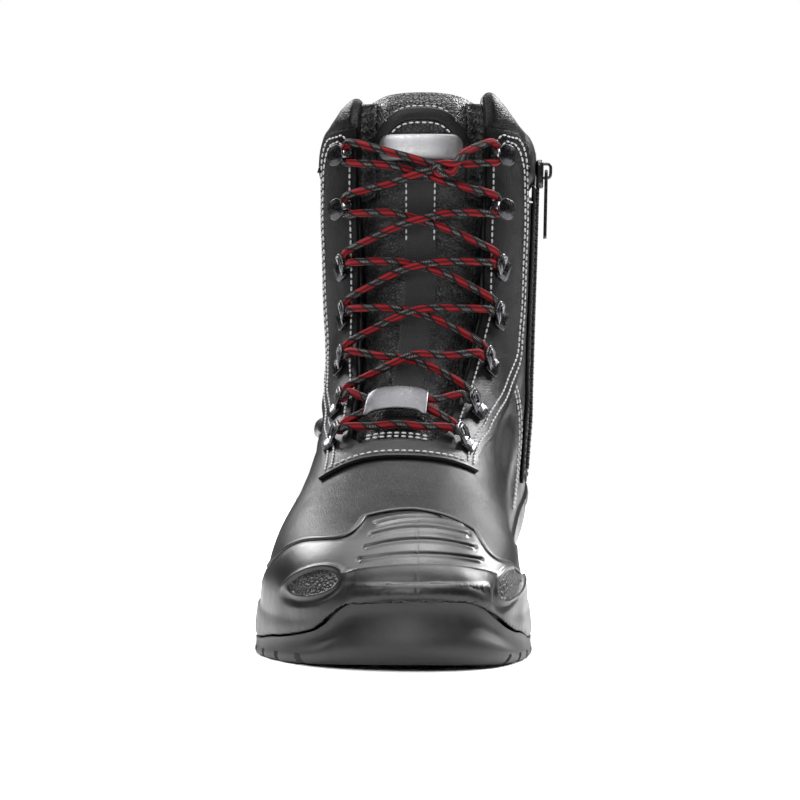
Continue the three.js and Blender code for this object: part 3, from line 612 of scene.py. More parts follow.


# Leather surface: soft creases

# Side, length and height of both ends, bow, depth and half width of each crease
CREASES = (
    (-1, -104, 70, -62, 96, 5, 1.1, 5.0),
    (-1, -92, 62, -30, 78, 4, 0.8, 6.0),
    (-1, -70, 104, -40, 112, -3, 0.8, 4.5),
    (-1, -52, 118, -10, 110, 4, 0.7, 6.0),
    (-1, -40, 132, 5, 126, -4, 0.6, 6.5),
    (-1, -20, 96, 26, 88, 3, 0.7, 5.5),
    (1, -108, 72, -66, 98, 5, 1.0, 5.0),
    (1, -96, 62, -46, 74, 4, 0.8, 6.0),
    (1, -66, 106, -44, 112, -3, 0.7, 4.5),
    (1, -14, 118, 20, 108, 4, 0.7, 6.0),
    (1, -12, 92, 24, 84, 3, 0.7, 5.5),
    (0, 30, 118, 34, 108, 0, 0.5, 5.0),
)


def crease_at(point, turn):
    """How far the creases push the leather out or in."""
    total = 0.0
    for side, y0, z0, y1, z1, bow, depth, width in CREASES:
        if side and side * turn < 0:
            continue
        dy, dz = y1 - y0, z1 - z0
        size = math.hypot(dy, dz)
        t = ((point.y - y0) * dy + (point.z - z0) * dz) / (size * size)
        if t < -0.25 or t > 1.25:
            continue
        off = ((point.y - y0) * -dz + (point.z - z0) * dy) / size - bow * (1 - (2 * t - 1) ** 2)
        fade = smoothstep(t, -0.2, 0.3) * (1 - smoothstep(t, 0.7, 1.2))
        reach = bump_at(off, width) - 0.55 * bump_at(off - 1.7 * width, width)
        total -= depth * fade * (reach - 0.35 * bump_at(off + 1.8 * width, width))
    return total


def leather_out(station, turn, amount=1.0):
    """Creases and a slight unevenness of the leather."""
    point = place(station, turn)
    uneven = noise.noise(point * 0.035) * 0.35 + noise.noise(point * 0.09) * 0.12
    return amount * (crease_at(point, turn) + uneven)


# Materials

def new_material(name, colour, roughness, metallic=0.0, coat=0.0, sheen=0.0, specular=0.34):
    """A material and its shader, with the values that are the same all over on its sockets."""
    material = bpy.data.materials.new(name)
    material.use_nodes = True
    shader = material.node_tree.nodes["Principled BSDF"]
    shader.inputs["Base Color"].default_value = (*colour, 1)
    shader.inputs["Roughness"].default_value = roughness
    shader.inputs["Metallic"].default_value = metallic
    shader.inputs["Coat Weight"].default_value = coat
    shader.inputs["Coat Roughness"].default_value = 0.25
    shader.inputs["Specular IOR Level"].default_value = 0.5 if metallic else specular
    shader.inputs["Sheen Weight"].default_value = sheen
    shader.inputs["Sheen Roughness"].default_value = 0.4
    return material


def add_node(material, kind, links=None, **settings):
    """Adds a node. Settings name its properties, or its inputs where they start with a capital."""
    tree = material.node_tree
    node = tree.nodes.new(kind)
    for name, value in settings.items():
        if name[0].isupper():
            node.inputs[name.replace("_", " ")].default_value = value
        else:
            setattr(node, name, value)
    for socket, source in (links or {}).items():
        tree.links.new(source, node.inputs[socket])
    return node


def object_place(material):
    return add_node(material, "ShaderNodeTexCoord").outputs["Object"]


def uv_place(material, scale):
    place_of = add_node(material, "ShaderNodeUVMap", uv_map="UVMap").outputs["UV"]
    return add_node(material, "ShaderNodeMapping", {"Vector": place_of}, Scale=scale).outputs["Vector"]


def noise_of(material, vector, scale, detail=2.0, rough=0.5):
    node = add_node(
        material, "ShaderNodeTexNoise", {"Vector": vector}, Scale=scale, Detail=detail, Roughness=rough,
    )
    return node.outputs["Fac"]


def cells_of(material, vector, scale, feature="F1"):
    node = add_node(material, "ShaderNodeTexVoronoi", {"Vector": vector}, feature=feature, Scale=scale)
    return node.outputs["Distance"]


def feed(material, socket, value):
    """Links a socket to another, or gives it a plain value."""
    if isinstance(value, bpy.types.NodeSocket):
        material.node_tree.links.new(value, socket)
    else:
        socket.default_value = value


def math_of(material, operation, first, second=0.5):
    node = add_node(material, "ShaderNodeMath", operation=operation)
    feed(material, node.inputs[0], first)
    feed(material, node.inputs[1], second)
    return node.outputs[0]


def wave_of(material, source, turns):
    return math_of(material, "SINE", math_of(material, "MULTIPLY", source, 2 * math.pi * turns))


def mix_of(material, factor, first, second, blend="MIX"):
    """Two colours mixed. Places 6 and 7 are the node's colour inputs, and 2 is its colour."""
    node = add_node(material, "ShaderNodeMix", data_type="RGBA", blend_type=blend)
    feed(material, node.inputs["Factor"], factor)
    feed(material, node.inputs[6], first)
    feed(material, node.inputs[7], second)
    return node.outputs[2]


def ramp_of(material, source, stops):
    node = add_node(material, "ShaderNodeValToRGB", {"Fac": source})
    ramp = node.color_ramp
    while len(ramp.elements) < len(stops):
        ramp.elements.new(0.5)
    for element, (at, value) in zip(ramp.elements, stops):
        element.position = at
        colour = value if isinstance(value, tuple) else (value, value, value)
        element.color = (*colour, 1)
    return node.outputs["Color"]


def bump_of(material, height, distance, strength=1.0, before=None):
    links = {"Height": height}
    if before:
        links["Normal"] = before
    node = add_node(material, "ShaderNodeBump", links, Strength=strength, Distance=distance)
    return node.outputs["Normal"]


def scaled(colour, factor):
    return tuple(value * factor for value in colour)


def to_shader(material, **sources):
    shader = material.node_tree.nodes["Principled BSDF"]
    for name, source in sources.items():
        material.node_tree.links.new(source, shader.inputs[name.replace("_", " ")])


def leather_material(name, colour, roughness, grain, cell, wrinkle=0.0, specular=0.18):
    """Black leather: fine pebbles, pores, soft wrinkles and an uneven polish."""
    material = new_material(name, colour, roughness, coat=0.06, specular=specular)
    spot = object_place(material)
    cells = cells_of(material, spot, cell, feature="DISTANCE_TO_EDGE")
    pebble = ramp_of(material, cells, ((0.0, 0.0), (0.22, 0.8), (0.6, 1.0)))
    normal = bump_of(material, pebble, grain)
    pores = noise_of(material, spot, cell * 3.1, 3, 0.6)
    normal = bump_of(material, pores, grain * 0.6, before=normal)
    if wrinkle:
        folds = noise_of(material, spot, 95, 4, 0.55)
        normal = bump_of(material, folds, wrinkle, before=normal)
    broad = noise_of(material, spot, 38, 3, 0.5)
    polish = ramp_of(material, broad, ((0.3, roughness - 0.07), (0.7, roughness + 0.08)))
    shade = ramp_of(material, broad, ((0.25, scaled(colour, 0.7)), (0.75, scaled(colour, 1.35))))
    to_shader(material, Normal=normal, Roughness=polish, Base_Color=shade)
    return material


def rubber_material(name, colour, roughness, fine=0.00005):
    """Moulded rubber: a fine matt skin with faint flow marks."""
    material = new_material(name, colour, roughness, specular=0.45)
    spot = object_place(material)
    normal = bump_of(material, noise_of(material, spot, 2600, 2, 0.6), fine)
    normal = bump_of(material, noise_of(material, spot, 120, 3, 0.5), 0.00015, before=normal)
    broad = noise_of(material, spot, 45, 4, 0.6)
    polish = ramp_of(material, broad, ((0.3, roughness - 0.06), (0.7, roughness + 0.08)))
    shade = ramp_of(material, broad, ((0.3, scaled(colour, 0.75)), (0.75, scaled(colour, 1.3))))
    to_shader(material, Normal=normal, Roughness=polish, Base_Color=shade)
    return material


def pebbled_rubber_material(name, colour):
    """The grip pads on the toe cap, with painted highlight on the knobs' tops and painted shade between
    them.
    """
    material = new_material(name, colour, 0.45)
    spot = object_place(material)
    cells = cells_of(material, spot, 750)
    knobs = ramp_of(material, cells, ((0.0, 1.0), (0.5, 0.5), (0.9, 0.0)))
    normal = bump_of(material, knobs, 0.0006)
    # Painted highlight and shade: the colour follows the knobs, lighter on their tops and dark in the
    # hollows between them.
    shade = ramp_of(material, cells, ((0.1, scaled(colour, 1.5)), (0.7, 0.004)))
    to_shader(material, Normal=normal, Base_Color=shade)
    return material


def braid_material(name, dark, red, fleck):
    """Round braid along the piece's U: red blocks on black with pale flecks, and painted shade in the
    grooves between its strands.
    """
    material = new_material(name, dark, 0.75, specular=0.25)
    spot = add_node(material, "ShaderNodeUVMap", uv_map="UVMap").outputs["UV"]
    split = add_node(material, "ShaderNodeSeparateXYZ", {"Vector": spot})
    u, v = split.outputs["X"], split.outputs["Y"]
    along = math_of(material, "FRACT", math_of(material, "ADD", u, v))
    checks = []
    for tilt in (-8.0, 8.0):
        lane = math_of(material, "ADD", v, math_of(material, "MULTIPLY", u, tilt))
        checks.append(wave_of(material, lane, 2.5))
    knit = math_of(material, "MULTIPLY", *checks)
    red_part = ((0.0, 0.0), (0.46, 0.0), (0.5, 1.0), (0.94, 1.0), (1.0, 0.0))
    blocks = ramp_of(material, along, red_part)
    # Painted shade: the colour is darkened where the knit is low, in the grooves between the strands.
    strand_groove_shade = ramp_of(material, knit, ((0.0, 0.12), (0.35, 1.0)))
    flecks = ramp_of(material, checks[0], ((0.7, 0.0), (0.8, 1.0)))
    fleck_part = ((0.06, 0.0), (0.12, 1.0), (0.36, 1.0), (0.42, 0.0))
    pale = math_of(material, "MULTIPLY", flecks, ramp_of(material, along, fleck_part))
    pale = math_of(material, "MULTIPLY", pale, 0.85)
    mixed = mix_of(material, blocks, (*dark, 1), (*red, 1))
    coloured = mix_of(material, pale, mixed, (*fleck, 1))
    shaded = mix_of(material, 1.0, coloured, strand_groove_shade, "MULTIPLY")
    to_shader(material, Normal=bump_of(material, knit, 0.00028), Base_Color=shaded)
    return material


def metal_material(name, colour, roughness):
    """Dark plated metal with fine scratches."""
    material = new_material(name, colour, roughness, metallic=1.0)
    spot = object_place(material)
    scratches = noise_of(material, spot, 900, 3, 0.6)
    polish = ramp_of(material, scratches, ((0.3, roughness - 0.06), (0.7, roughness + 0.12)))
    to_shader(material, Roughness=polish, Normal=bump_of(material, scratches, 0.00003))
    return material


def webbing_material(name, colour, rows, columns, depth):
    """Woven tape over the piece's own UV, painted darker in the dips of the weave and lighter on its tops:
    painted shade and highlight.
    """
    material = new_material(name, colour, 0.8, sheen=0.2)
    spot = uv_place(material, (rows, columns, 1))
    split = add_node(material, "ShaderNodeSeparateXYZ", {"Vector": spot})
    weave = math_of(material, "MULTIPLY", *[wave_of(material, split.outputs[axis], 1) for axis in "XY"])
    # Painted shade and highlight: the colour follows the weave's height, darker in its dips and lighter on
    # its tops.
    shade = ramp_of(material, weave, ((0.0, scaled(colour, 0.5)), (1.0, scaled(colour, 1.5))))
    to_shader(material, Normal=bump_of(material, weave, depth), Base_Color=shade)
    return material


def thread_material(name, colour):
    material = new_material(name, colour, 0.6, sheen=0.2)
    spot = object_place(material)
    twist = noise_of(material, spot, 3000, 2, 0.6)
    shade = ramp_of(material, twist, ((0.3, scaled(colour, 0.7)), (0.7, colour)))
    to_shader(material, Normal=bump_of(material, twist, 0.0001), Base_Color=shade)
    return material


def felt_material(name, colour):
    material = new_material(name, colour, 0.95, sheen=0.5)
    spot = object_place(material)
    fluff = noise_of(material, spot, 1400, 5, 0.7)
    shade = ramp_of(material, fluff, ((0.3, scaled(colour, 0.6)), (0.7, scaled(colour, 1.4))))
    to_shader(material, Normal=bump_of(material, fluff, 0.0005), Base_Color=shade)
    return material


def studio_material(name, colour):
    material = new_material(name, colour, 1.0, specular=0.0)
    spot = object_place(material)
    grain = noise_of(material, spot, 60, 3, 0.5)
    to_shader(material, Base_Color=ramp_of(material, grain, ((0.3, scaled(colour, 0.985)), (0.7, colour))))
    return material


def finish_of(name):
    """The material of that name, made on first use from the boot's colours."""
    found = bpy.data.materials.get(name)
    if found:
        return found
    colours = bpy.context.scene.boot_finish
    leather = tuple(colours.leather)
    soft = tuple(colours.soft_leather)
    makers = {
        "Smooth leather": lambda: leather_material(name, leather, 0.4, 0.00007, 900, 0.0004),
        "Collar leather": lambda: leather_material(name, leather, 0.36, 0.00008, 800, 0.0006),
        "Grained leather": lambda: leather_material(name, soft, 0.36, 0.0006, 560, 0.0005, 0.6),
        "Moulded sole": lambda: rubber_material(name, tuple(colours.midsole), 0.37),
        "Tread rubber": lambda: rubber_material(name, tuple(colours.outsole), 0.5, 0.0001),
        "Grip pad": lambda: pebbled_rubber_material(name, tuple(colours.midsole)),
        "Lace braid": lambda: braid_material(
            name, (0.003, 0.003, 0.0035), tuple(colours.lace_red), (0.6, 0.55, 0.55)),
        "Dark metal": lambda: metal_material(name, tuple(colours.metal), 0.26),
        "Bright metal": lambda: metal_material(name, (0.4, 0.4, 0.41), 0.2),
        "Badge face": lambda: metal_material(name, (0.34, 0.34, 0.35), 0.42),
        "Plate metal": lambda: metal_material(name, (0.075, 0.075, 0.08), 0.3),
        "Strap webbing": lambda: webbing_material(name, (0.03, 0.03, 0.032), 110, 9, 0.0002),
        "Zip tape": lambda: webbing_material(name, (0.008, 0.008, 0.009), 130, 12, 0.0002),
        "Zip teeth": lambda: rubber_material(name, (0.012, 0.012, 0.013), 0.35),
        "Pale thread": lambda: thread_material(name, tuple(colours.thread)),
        "Dark thread": lambda: thread_material(name, (0.03, 0.03, 0.032)),
        "Winter felt": lambda: felt_material(name, (0.1, 0.105, 0.11)),
        "Studio floor": lambda: studio_material(name, (0.93, 0.93, 0.93)),
    }
    return makers[name]()


# Settings that a user would change

class BootSizes(bpy.types.PropertyGroup):
    """Sizes of what the dressed boot adds to its solids."""

    stitch_pitch: bpy.props.FloatProperty(
        name="Stitch pitch", description="Distance from one stitch to the next",
        default=0.0029, min=0.002, max=0.006, unit="LENGTH")
    thread: bpy.props.FloatProperty(
        name="Thread", description="Thickness of the sewing thread",
        default=0.0009, min=0.0004, max=0.0015, unit="LENGTH")
    lace: bpy.props.FloatProperty(
        name="Lace", description="Diameter of the round lace",
        default=0.0034, min=0.003, max=0.006, unit="LENGTH")
    rib_depth: bpy.props.FloatProperty(
        name="Rib depth", description="Depth of the grooves across the toe cap",
        default=0.001, min=0.0, max=0.003, unit="LENGTH")
    voxel: bpy.props.FloatProperty(
        name="Moulding voxel", description="Fineness of the moulded sole's surface",
        default=0.0011, min=0.0006, max=0.003, unit="LENGTH")
    light: bpy.props.FloatProperty(
        name="Light", description="Strength of the studio lights", default=1.0, min=0.1, max=4.0)


class BootFinish(bpy.types.PropertyGroup):
    """Colours of the boot."""

    leather: bpy.props.FloatVectorProperty(
        name="Leather", description="Smooth black leather", subtype="COLOR",
        default=(0.0045, 0.0045, 0.005))
    soft_leather: bpy.props.FloatVectorProperty(
        name="Soft leather", description="Grained leather of the tongue and gussets",
        subtype="COLOR", default=(0.005, 0.005, 0.0055))
    midsole: bpy.props.FloatVectorProperty(
        name="Midsole", description="Moulded midsole and toe cap", subtype="COLOR",
        default=(0.006, 0.006, 0.0064))
    outsole: bpy.props.FloatVectorProperty(
        name="Outsole", description="Rubber of the tread", subtype="COLOR",
        default=(0.013, 0.013, 0.014))
    lace_red: bpy.props.FloatVectorProperty(
        name="Lace red", description="Red blocks of the lace", subtype="COLOR",
        default=(0.5, 0.012, 0.022))
    thread: bpy.props.FloatVectorProperty(
        name="Thread", description="Pale sewing thread", subtype="COLOR",
        default=(0.5, 0.5, 0.51))
    metal: bpy.props.FloatVectorProperty(
        name="Metal", description="Dark plated hooks and rings", subtype="COLOR",
        default=(0.06, 0.06, 0.065))


class BootPiece(bpy.types.Operator):
    """What the boot's operators share."""

    bl_options = {"REGISTER", "UNDO"}

    @property
    def sizes(self):
        return bpy.context.scene.boot_sizes

    def stitches(self, name, paths, slot, finish="Pale thread"):
        """Rows of stitches as one piece."""
        bm = bmesh.new()
        for path in paths:
            add_stitches(bm, path, self.sizes.stitch_pitch * 1000, self.sizes.thread * 1000)
        dress(to_object(bm, name), finish_of(finish))


class BOOT_OT_upper(BootPiece):
    """Leather shaft and vamp, open at the throat, the collar and underneath"""

    bl_idname = "boot.upper"
    bl_label = "Upper"

    def execute(self, context):
        self.wall()
        self.sock()
        return {"FINISHED"}

    def wall(self):
        long, around = 190, 150
        foot, tip = 0.36, 0.25
        bridge = 10 / around
        top_of = {}

        def where(a, b):
            if a <= foot:
                station = lerp(tip, THROAT_FOOT, a / foot)
            else:
                station = THROAT_FOOT
            half = open_turn(station)
            for _ in range(2):
                if b <= bridge:
                    turn = half * b / bridge
                elif b >= 1 - bridge:
                    turn = 2 * math.pi - half * (1 - b) / bridge
                else:
                    turn = lerp(half, 2 * math.pi - half, (b - bridge) / (1 - 2 * bridge))
                if a <= foot:
                    break
                turn = wrapped(turn)
                key = round(turn, 3)
                if key not in top_of:
                    top_of[key] = station_at(COLLAR_BASE - GAP, key)
                station = lerp(THROAT_FOOT, top_of[key], (a - foot) / (1 - foot))
                half = open_turn(station)
            turn = wrapped(turn)
            hidden = smoothstep(abs(math.degrees(turn)), 120, 150) * (1 - smoothstep(station, 9, 12))
            return on_last(station, turn, leather_out(station, turn, 1 - hidden))

        bm = grid(long, around)
        throat = [
            face for face in bm.faces
            if face.calc_center_median().x > foot
            and not bridge < face.calc_center_median().y < 1 - bridge
        ]
        bmesh.ops.delete(bm, geom=throat, context="FACES")
        shape(bm, where)
        merge(bm, 0.02)
        thicken(bm, WALL)
        dress(to_object(bm, "upper_leather"), finish_of("Smooth leather"), ["upper"])

    def sock(self):
        """Insole: felt inside the upper, on the sole."""
        bm = grid(60, 30)

        def where(a, b):
            y = lerp(length_at(0.05), length_at(0.945), a)
            outer, inner = board_halves(y)
            x = lerp(-outer, inner, b)
            edge = abs(2 * b - 1) ** 6
            return Vector((x, y, floor_at(y) + GAP + INSOLE - 0.8 * edge))

        shape(bm, where)
        thicken(bm, INSOLE - 1)
        dress(to_object(bm, "insole_felt"), finish_of("Winter felt"), ["insole"])


# How far the insole board stays inside the sole's outline
BOARD_INSET = 7.0


def board_halves(y):
    """Half widths of the insole board at a length, on the outer and inner side."""
    rows = [(at, width * outer, width * inner) for at, width, outer, inner in OUTLINE]
    return [max(half - BOARD_INSET, 2) for half in read_smooth(rows, share_at(y))]


def outer_trim(station):
    """Narrows the eyestay's foot on the outer side."""
    return lerp(0.86, 1.0, smoothstep(station, 8.5, 11))


def foot_drop(station, turn, edge):
    """How far the eyestay's lower corners reach down, in stations."""
    reach = 0.1 if turn < 0 else -0.6
    return reach * (abs(turn) / edge) ** 2 * (1 - smoothstep(station, FACING_FOOT, FACING_FOOT + 2.2))


class BOOT_OT_facing(BootPiece):
    """Eyestay round the throat, with its bridge over the vamp and its rows of stitches"""

    bl_idname = "boot.facing"
    bl_label = "Facing"

    def execute(self, context):
        long, wide = 120, 72
        foot = 8 / long
        left, right = 24 / wide, 48 / wide

        def where(a, b):
            if a <= foot:
                station = lerp(FACING_FOOT, THROAT_FOOT + 0.02, a / foot)
            else:
                station = lerp(THROAT_FOOT + 0.02, FACING_TOP, (a - foot) / (1 - foot))
            half, edge = open_turn(station), edge_turn(station)
            if b < left:
                edge *= outer_trim(station)
                turn = lerp(-edge, -half, b / left)
            elif b > right:
                turn = lerp(half, edge, (b - right) / (1 - right))
            else:
                turn = lerp(-half, half, (b - left) / (right - left))
            round_top = smoothstep(station, 20.6, FACING_TOP)
            near_edge = smoothstep(abs(turn), edge - 0.22, edge)
            station -= 1.0 * round_top * near_edge ** 2
            station -= foot_drop(station, turn, edge)
            lift = 0.25 * noise.noise(place(station, turn) * 0.05)
            return on_last(station, turn, GAP + FACING + lift + leather_out(station, turn, 0.5))

        bm = grid(long, wide)
        inside = [
            face for face in bm.faces
            if face.calc_center_median().x > foot and left < face.calc_center_median().y < right
        ]
        bmesh.ops.delete(bm, geom=inside, context="FACES")
        shape(bm, where)
        thicken(bm, FACING, 0.4)
        dress(to_object(bm, "facing_leather"), finish_of("Smooth leather"), ["facing"])
        self.rows()
        return {"FINISHED"}

    def rows(self):
        out = GAP + FACING + 0.35
        paths = []
        for side in (-1, 1):
            for inset in (2.6, 5.0):
                places = []
                for i in range(26):
                    station = lerp(8.12 + 0.02 * inset, 20.6, i / 25)
                    trim = outer_trim(station) if side < 0 else 1
                    edge = math.degrees(edge_turn(station)) * trim
                    turn = side * (edge - inset * 1.3)
                    places.append((station - foot_drop(station, turn, edge), turn))
                edge = math.degrees(edge_turn(21)) - inset * 1.3
                inner = math.degrees(open_turn(21)) + 1.5 + inset
                top = FACING_TOP - 0.09 * inset
                places += [(top - 0.55, side * (edge - 0.8)), (top - 0.2, side * (edge - 4))]
                places += [(top, side * lerp(edge - 8, inner + 4, t / 3)) for t in range(4)]
                places += [(top - 0.25, side * (inner + 1)), (top - 0.7, side * inner)]
                paths.append(last_path(places, out))
            inner = []
            for i in range(20):
                station = lerp(9.4, 20.9, i / 19)
                inner.append((station, side * (math.degrees(open_turn(station)) + 3.2)))
            paths.append(last_path(inner, out))
        row = [(8.18 - foot_drop(8.1, turn, 36 if turn < 0 else 41), turn) for turn in range(-31, 37, 4)]
        paths.append(last_path(row, out))
        for station in (8.72, 8.84):
            paths.append(last_path([(station, turn) for turn in range(-15, 16, 3)], out))
        self.stitches("facing_stitches", paths, "leather")


class BOOT_OT_collar(BootPiece):
    """Padded collar with its two front ears"""

    bl_idname = "boot.collar"
    bl_label = "Collar"

    def execute(self, context):
        bm = grid(260, 40)
        front = math.radians(COLLAR_FRONT)

        def where(b, a):
            turn = wrapped(lerp(front, 2 * math.pi - front, b))
            angle = 2 * math.pi * a
            c, s = math.cos(angle), math.sin(angle)
            fit = (abs(c) ** 3.2 + abs(s) ** 2.4) ** (-1 / 2.8)
            high = 0.5 - 0.5 * c * fit
            mix = 0.5 + 0.5 * s * fit
            top = collar_top(turn) - (2.6 * bump_at(math.degrees(turn) + 38, 12) if turn < 0 else 0)
            end = smoothstep(min(b, 1 - b), 0, 0.012)
            middle_out = -COLLAR_PAD / 2
            z = lerp(COLLAR_BASE + 0.4, top, clamp(high, 0, 1))
            bulge = COLLAR_BULGE * math.sin(math.pi * clamp(high, 0, 1))
            pinch = 0.6 + 0.4 * smoothstep(high, 0.0, 0.3)
            fold = 0.5 * noise.noise(Vector((math.degrees(turn) * 0.1, high * 2.5, 3.0)))
            half = COLLAR_PAD / 2 * pinch * lerp(0.5, 1, end)
            out = middle_out + lerp(-half * 1.05, half + bulge + fold, mix)
            under = 1 - smoothstep(abs(math.degrees(turn)), math.degrees(edge_turn(20)) - 1.5,
                                   math.degrees(edge_turn(20)) + 3)
            under *= 1 - smoothstep(z, 219, 226)
            out = min(out, lerp(out, -1.2, under))
            return on_last(station_at(round(z, 2), turn), turn, out)

        shape(bm, where)
        merge(bm)
        close(bm)
        collar = dress(to_object(bm, "collar_leather"), finish_of("Collar leather"),
                       ["collar"])
        base = []
        for i in range(90):
            around = lerp(math.radians(69), 2 * math.pi - math.radians(69), i / 89)
            turn = wrapped(around)
            base.append((station_at(COLLAR_BASE - 2.4, turn), math.degrees(around)))
        self.stitches("collar_stitches", [last_path(base, 0.25)], "soft_leather")
        return {"FINISHED"}


def tongue_turn(station):
    tucked = open_turn(station) + math.radians(5)
    return lerp(tucked, math.radians(COLLAR_FRONT) - 0.035, smoothstep(station, 18.6, 19.3))


def tongue_out(station, turn):
    side = abs(turn) / open_turn(station)
    opened = smoothstep(station, THROAT_FOOT + 0.05, THROAT_FOOT + 0.6)
    bulge = opened * (1 - smoothstep(side, 0.55, 0.93))
    roll_in = 2.5 * smoothstep(station, 22, TONGUE_TOP)
    return -WALL - 5 * GAP + bulge * (WALL + 2 * GAP) - roll_in


class BOOT_OT_tongue(BootPiece):
    """Padded tongue with gathered gussets, its strap and its badge"""

    bl_idname = "boot.tongue"
    bl_label = "Tongue"

    def execute(self, context):
        self.pad()
        self.gussets()
        self.top_band()
        self.strap()
        self.badge()
        return {"FINISHED"}

    def pad(self):
        bm = grid(150, 88)

        def where(a, b):
            angle = 2 * math.pi * b
            c, s = math.cos(angle), math.sin(angle)
            fit = (abs(c) ** 3.5 + abs(s) ** 2.2) ** (-1 / 2.9)
            wide = clamp(-c * fit, -1, 1)
            mix = 0.5 + 0.5 * s * fit
            station = lerp(TONGUE_FOOT, TONGUE_TOP, a)
            round_top = math.sqrt(max(0.0, 1 - smoothstep(a, 0.955, 1.0) ** 2))
            station -= 0.34 * smoothstep(a, 0.9, 1.0) * abs(wide) ** 2.4
            turn = wide * tongue_turn(station) * 0.985
            outer = tongue_out(station, turn)
            thick = TONGUE * max(round_top, 0.05)
            side = abs(wide)
            gather = 0.0
            if 9.4 < station < 20:
                edge = bump_at(side - 0.62, 0.17)
                gather = 0.5 * edge * math.sin(station * 15 + 2.2 * math.sin(station * 3.1) + 6 * wide)
            return on_last(station, turn, outer - thick * (1 - mix) - (TONGUE - thick) * 0.4 + gather * mix)

        shape(bm, where)
        merge(bm)
        close(bm)
        tongue = dress(to_object(bm, "tongue_pad"), finish_of("Grained leather"),
                       ["tongue"])

    def gussets(self):
        """Gathered soft leather between the tongue's top and the collar's ears."""
        for name, side in (("gusset_outer", -1), ("gusset_inner", 1)):
            bm = grid(70, 14)

            def where(a, b):
                station = lerp(18.9, 22.95, a)
                turn = side * math.radians(lerp(25.5, 36.2, b))
                fold = 0.55 * math.sin(station * 17 + 3 * b) * math.sin(math.pi * b)
                sink = 2.2 * math.sin(math.pi * b) * smoothstep(station, 18.9, 20)
                return on_last(station, turn, tongue_out(station, math.radians(20)) - 0.9 - sink + fold)

            shape(bm, where)
            thicken(bm, 1.2, flip=side > 0)
            dress(to_object(bm, name), finish_of("Grained leather"))

    def band_path(self, station, turn, lift):
        return on_last(station, math.radians(turn), tongue_out(station, math.radians(turn)) + lift)

    def top_band(self):
        """Smooth band that arches over the badge."""
        edge = 24.5

        def arch(top, drop, share):
            return top - drop * share ** 3.2

        def centre(t):
            turn = lerp(-edge, edge, t)
            station = arch(22.42, 1.5, abs(turn) / edge)
            point = self.band_path(station, turn, 0.35)
            later = self.band_path(arch(22.42, 1.5, abs(turn + 0.5) / edge), turn + 0.5, 0.35)
            out = directions(station, math.radians(turn))[0]
            along = (later - point).normalized()
            return point, out.cross(along).normalized(), out

        bm = roll(16, 80, centre, lambda t: 2.9, lambda t: 0.9, 2.4)
        dress(to_object(bm, "tongue_band"), finish_of("Smooth leather"))
        paths = []
        for top, end, drop in ((22.78, edge, 1.75), (22.02, 22.0, 1.4)):
            def path(t, top=top, end=end, drop=drop):
                turn = lerp(-end, end, t)
                station = arch(top, drop, abs(turn) / end)
                return self.band_path(station, turn, 0.75), directions(station, math.radians(turn))[0]
            paths.append(path)
        self.stitches("tongue_band_stitches", paths, "soft_leather")

    def strap(self):
        bm = grid(140, 10)

        def where(a, b):
            station = lerp(9.25, 19.5, a)
            turn = math.radians(lerp(-8.5, 8.5, b))
            wave = 0.25 * math.sin(station * 2.4) + 0.2 * noise.noise(Vector((station * 2, b, 0)))
            return on_last(station, turn, tongue_out(station, turn) + 2 * GAP + STRAP_THICK + wave * 0.4)

        shape(bm, where)
        thicken(bm, STRAP_THICK, 0.2)
        dress(to_object(bm, "strap_webbing"), finish_of("Strap webbing"), ["tongue_strap"])
        paths = []
        for edge in (-7.6, 7.6):
            def path(t, edge=edge):
                station = lerp(16.6, 19.4, t)
                turn = math.radians(edge)
                lift = tongue_out(station, turn) + 2 * GAP + STRAP_THICK + 0.3
                return on_last(station, turn, lift), directions(station, turn)[0]
            paths.append(path)
        self.stitches("strap_stitches", paths, "strap")

    def badge(self):
        bm = grid(60, 24)
        half_turn, middle, half = math.radians(22.5), 20.95, 0.58

        def where(a, b):
            x, y = 2 * a - 1, 2 * b - 1
            limit = math.sqrt(max(0.0, 1 - (max(abs(x) - 0.72, 0) / 0.28) ** 2)) * 0.96 + 0.04
            station = middle + half * y * limit
            turn = half_turn * x
            dome = 0.7 * math.sqrt(max(0.0, 1 - max(abs(x) ** 6, abs(y) ** 4)))
            return on_last(station, turn, tongue_out(station, turn) + 2 * GAP + 0.4 + dome)

        shape(bm, where)
        thicken(bm, PLATE, flip=False)
        dress(to_object(bm, "badge_plate"), finish_of("Badge face"), ["tongue_badge"])


# Sole

def mixed(points, starts, ends, t):
    """Each point mixed with the next, by where t lies between a start and an end."""
    return [
        a.lerp(b, (t - low) / (high - low))
        for a, b, low, high in zip(points, points[1:], starts, ends)
    ]


@lru_cache(maxsize=None)
def outline_points(count):
    """The sole's outline at equal distances, round from the toe along the inner side."""
    knots = [Vector((width * inner, length_at(at), 0)) for at, width, outer, inner in OUTLINE]
    knots += [Vector((-width * outer, length_at(at), 0)) for at, width, outer, inner in OUTLINE[-2:0:-1]]
    total = len(knots)
    fine = []
    for k in range(total):
        near = [knots[(k + i) % total] for i in (-1, 0, 1, 2)]
        ends = [0.0]
        for a, b in zip(near, near[1:]):
            ends.append(ends[-1] + math.sqrt((b - a).length))
        for j in range(24):
            t = lerp(ends[1], ends[2], j / 24)
            line = mixed(near, ends[:3], ends[1:], t)
            line = mixed(line, ends[:2], ends[2:], t)
            line = mixed(line, ends[1:2], ends[2:3], t)
            fine.append(line[0])
    fine.append(fine[0])
    return evenly(fine, count)[0][:count]


# Seam between midsole and outsole round the toe, in the front view: across and up
SEAM_FRONT = (
    (-62, 12.6),
    (-54.5, 11.7),
    (-47.7, 12.0),
    (-37.6, 14.0),
    (-33, 17.0),
    (-28.7, 21.3),
    (-24.5, 24.5),
    (-19.4, 26.2),
    (6.5, 27.3),
    (27.2, 26.9),
    (33.2, 25.6),
    (38.4, 22.2),
    (43.5, 17.9),
    (47, 14.9),
    (50, 13.4),
    (58, 12.8),
)


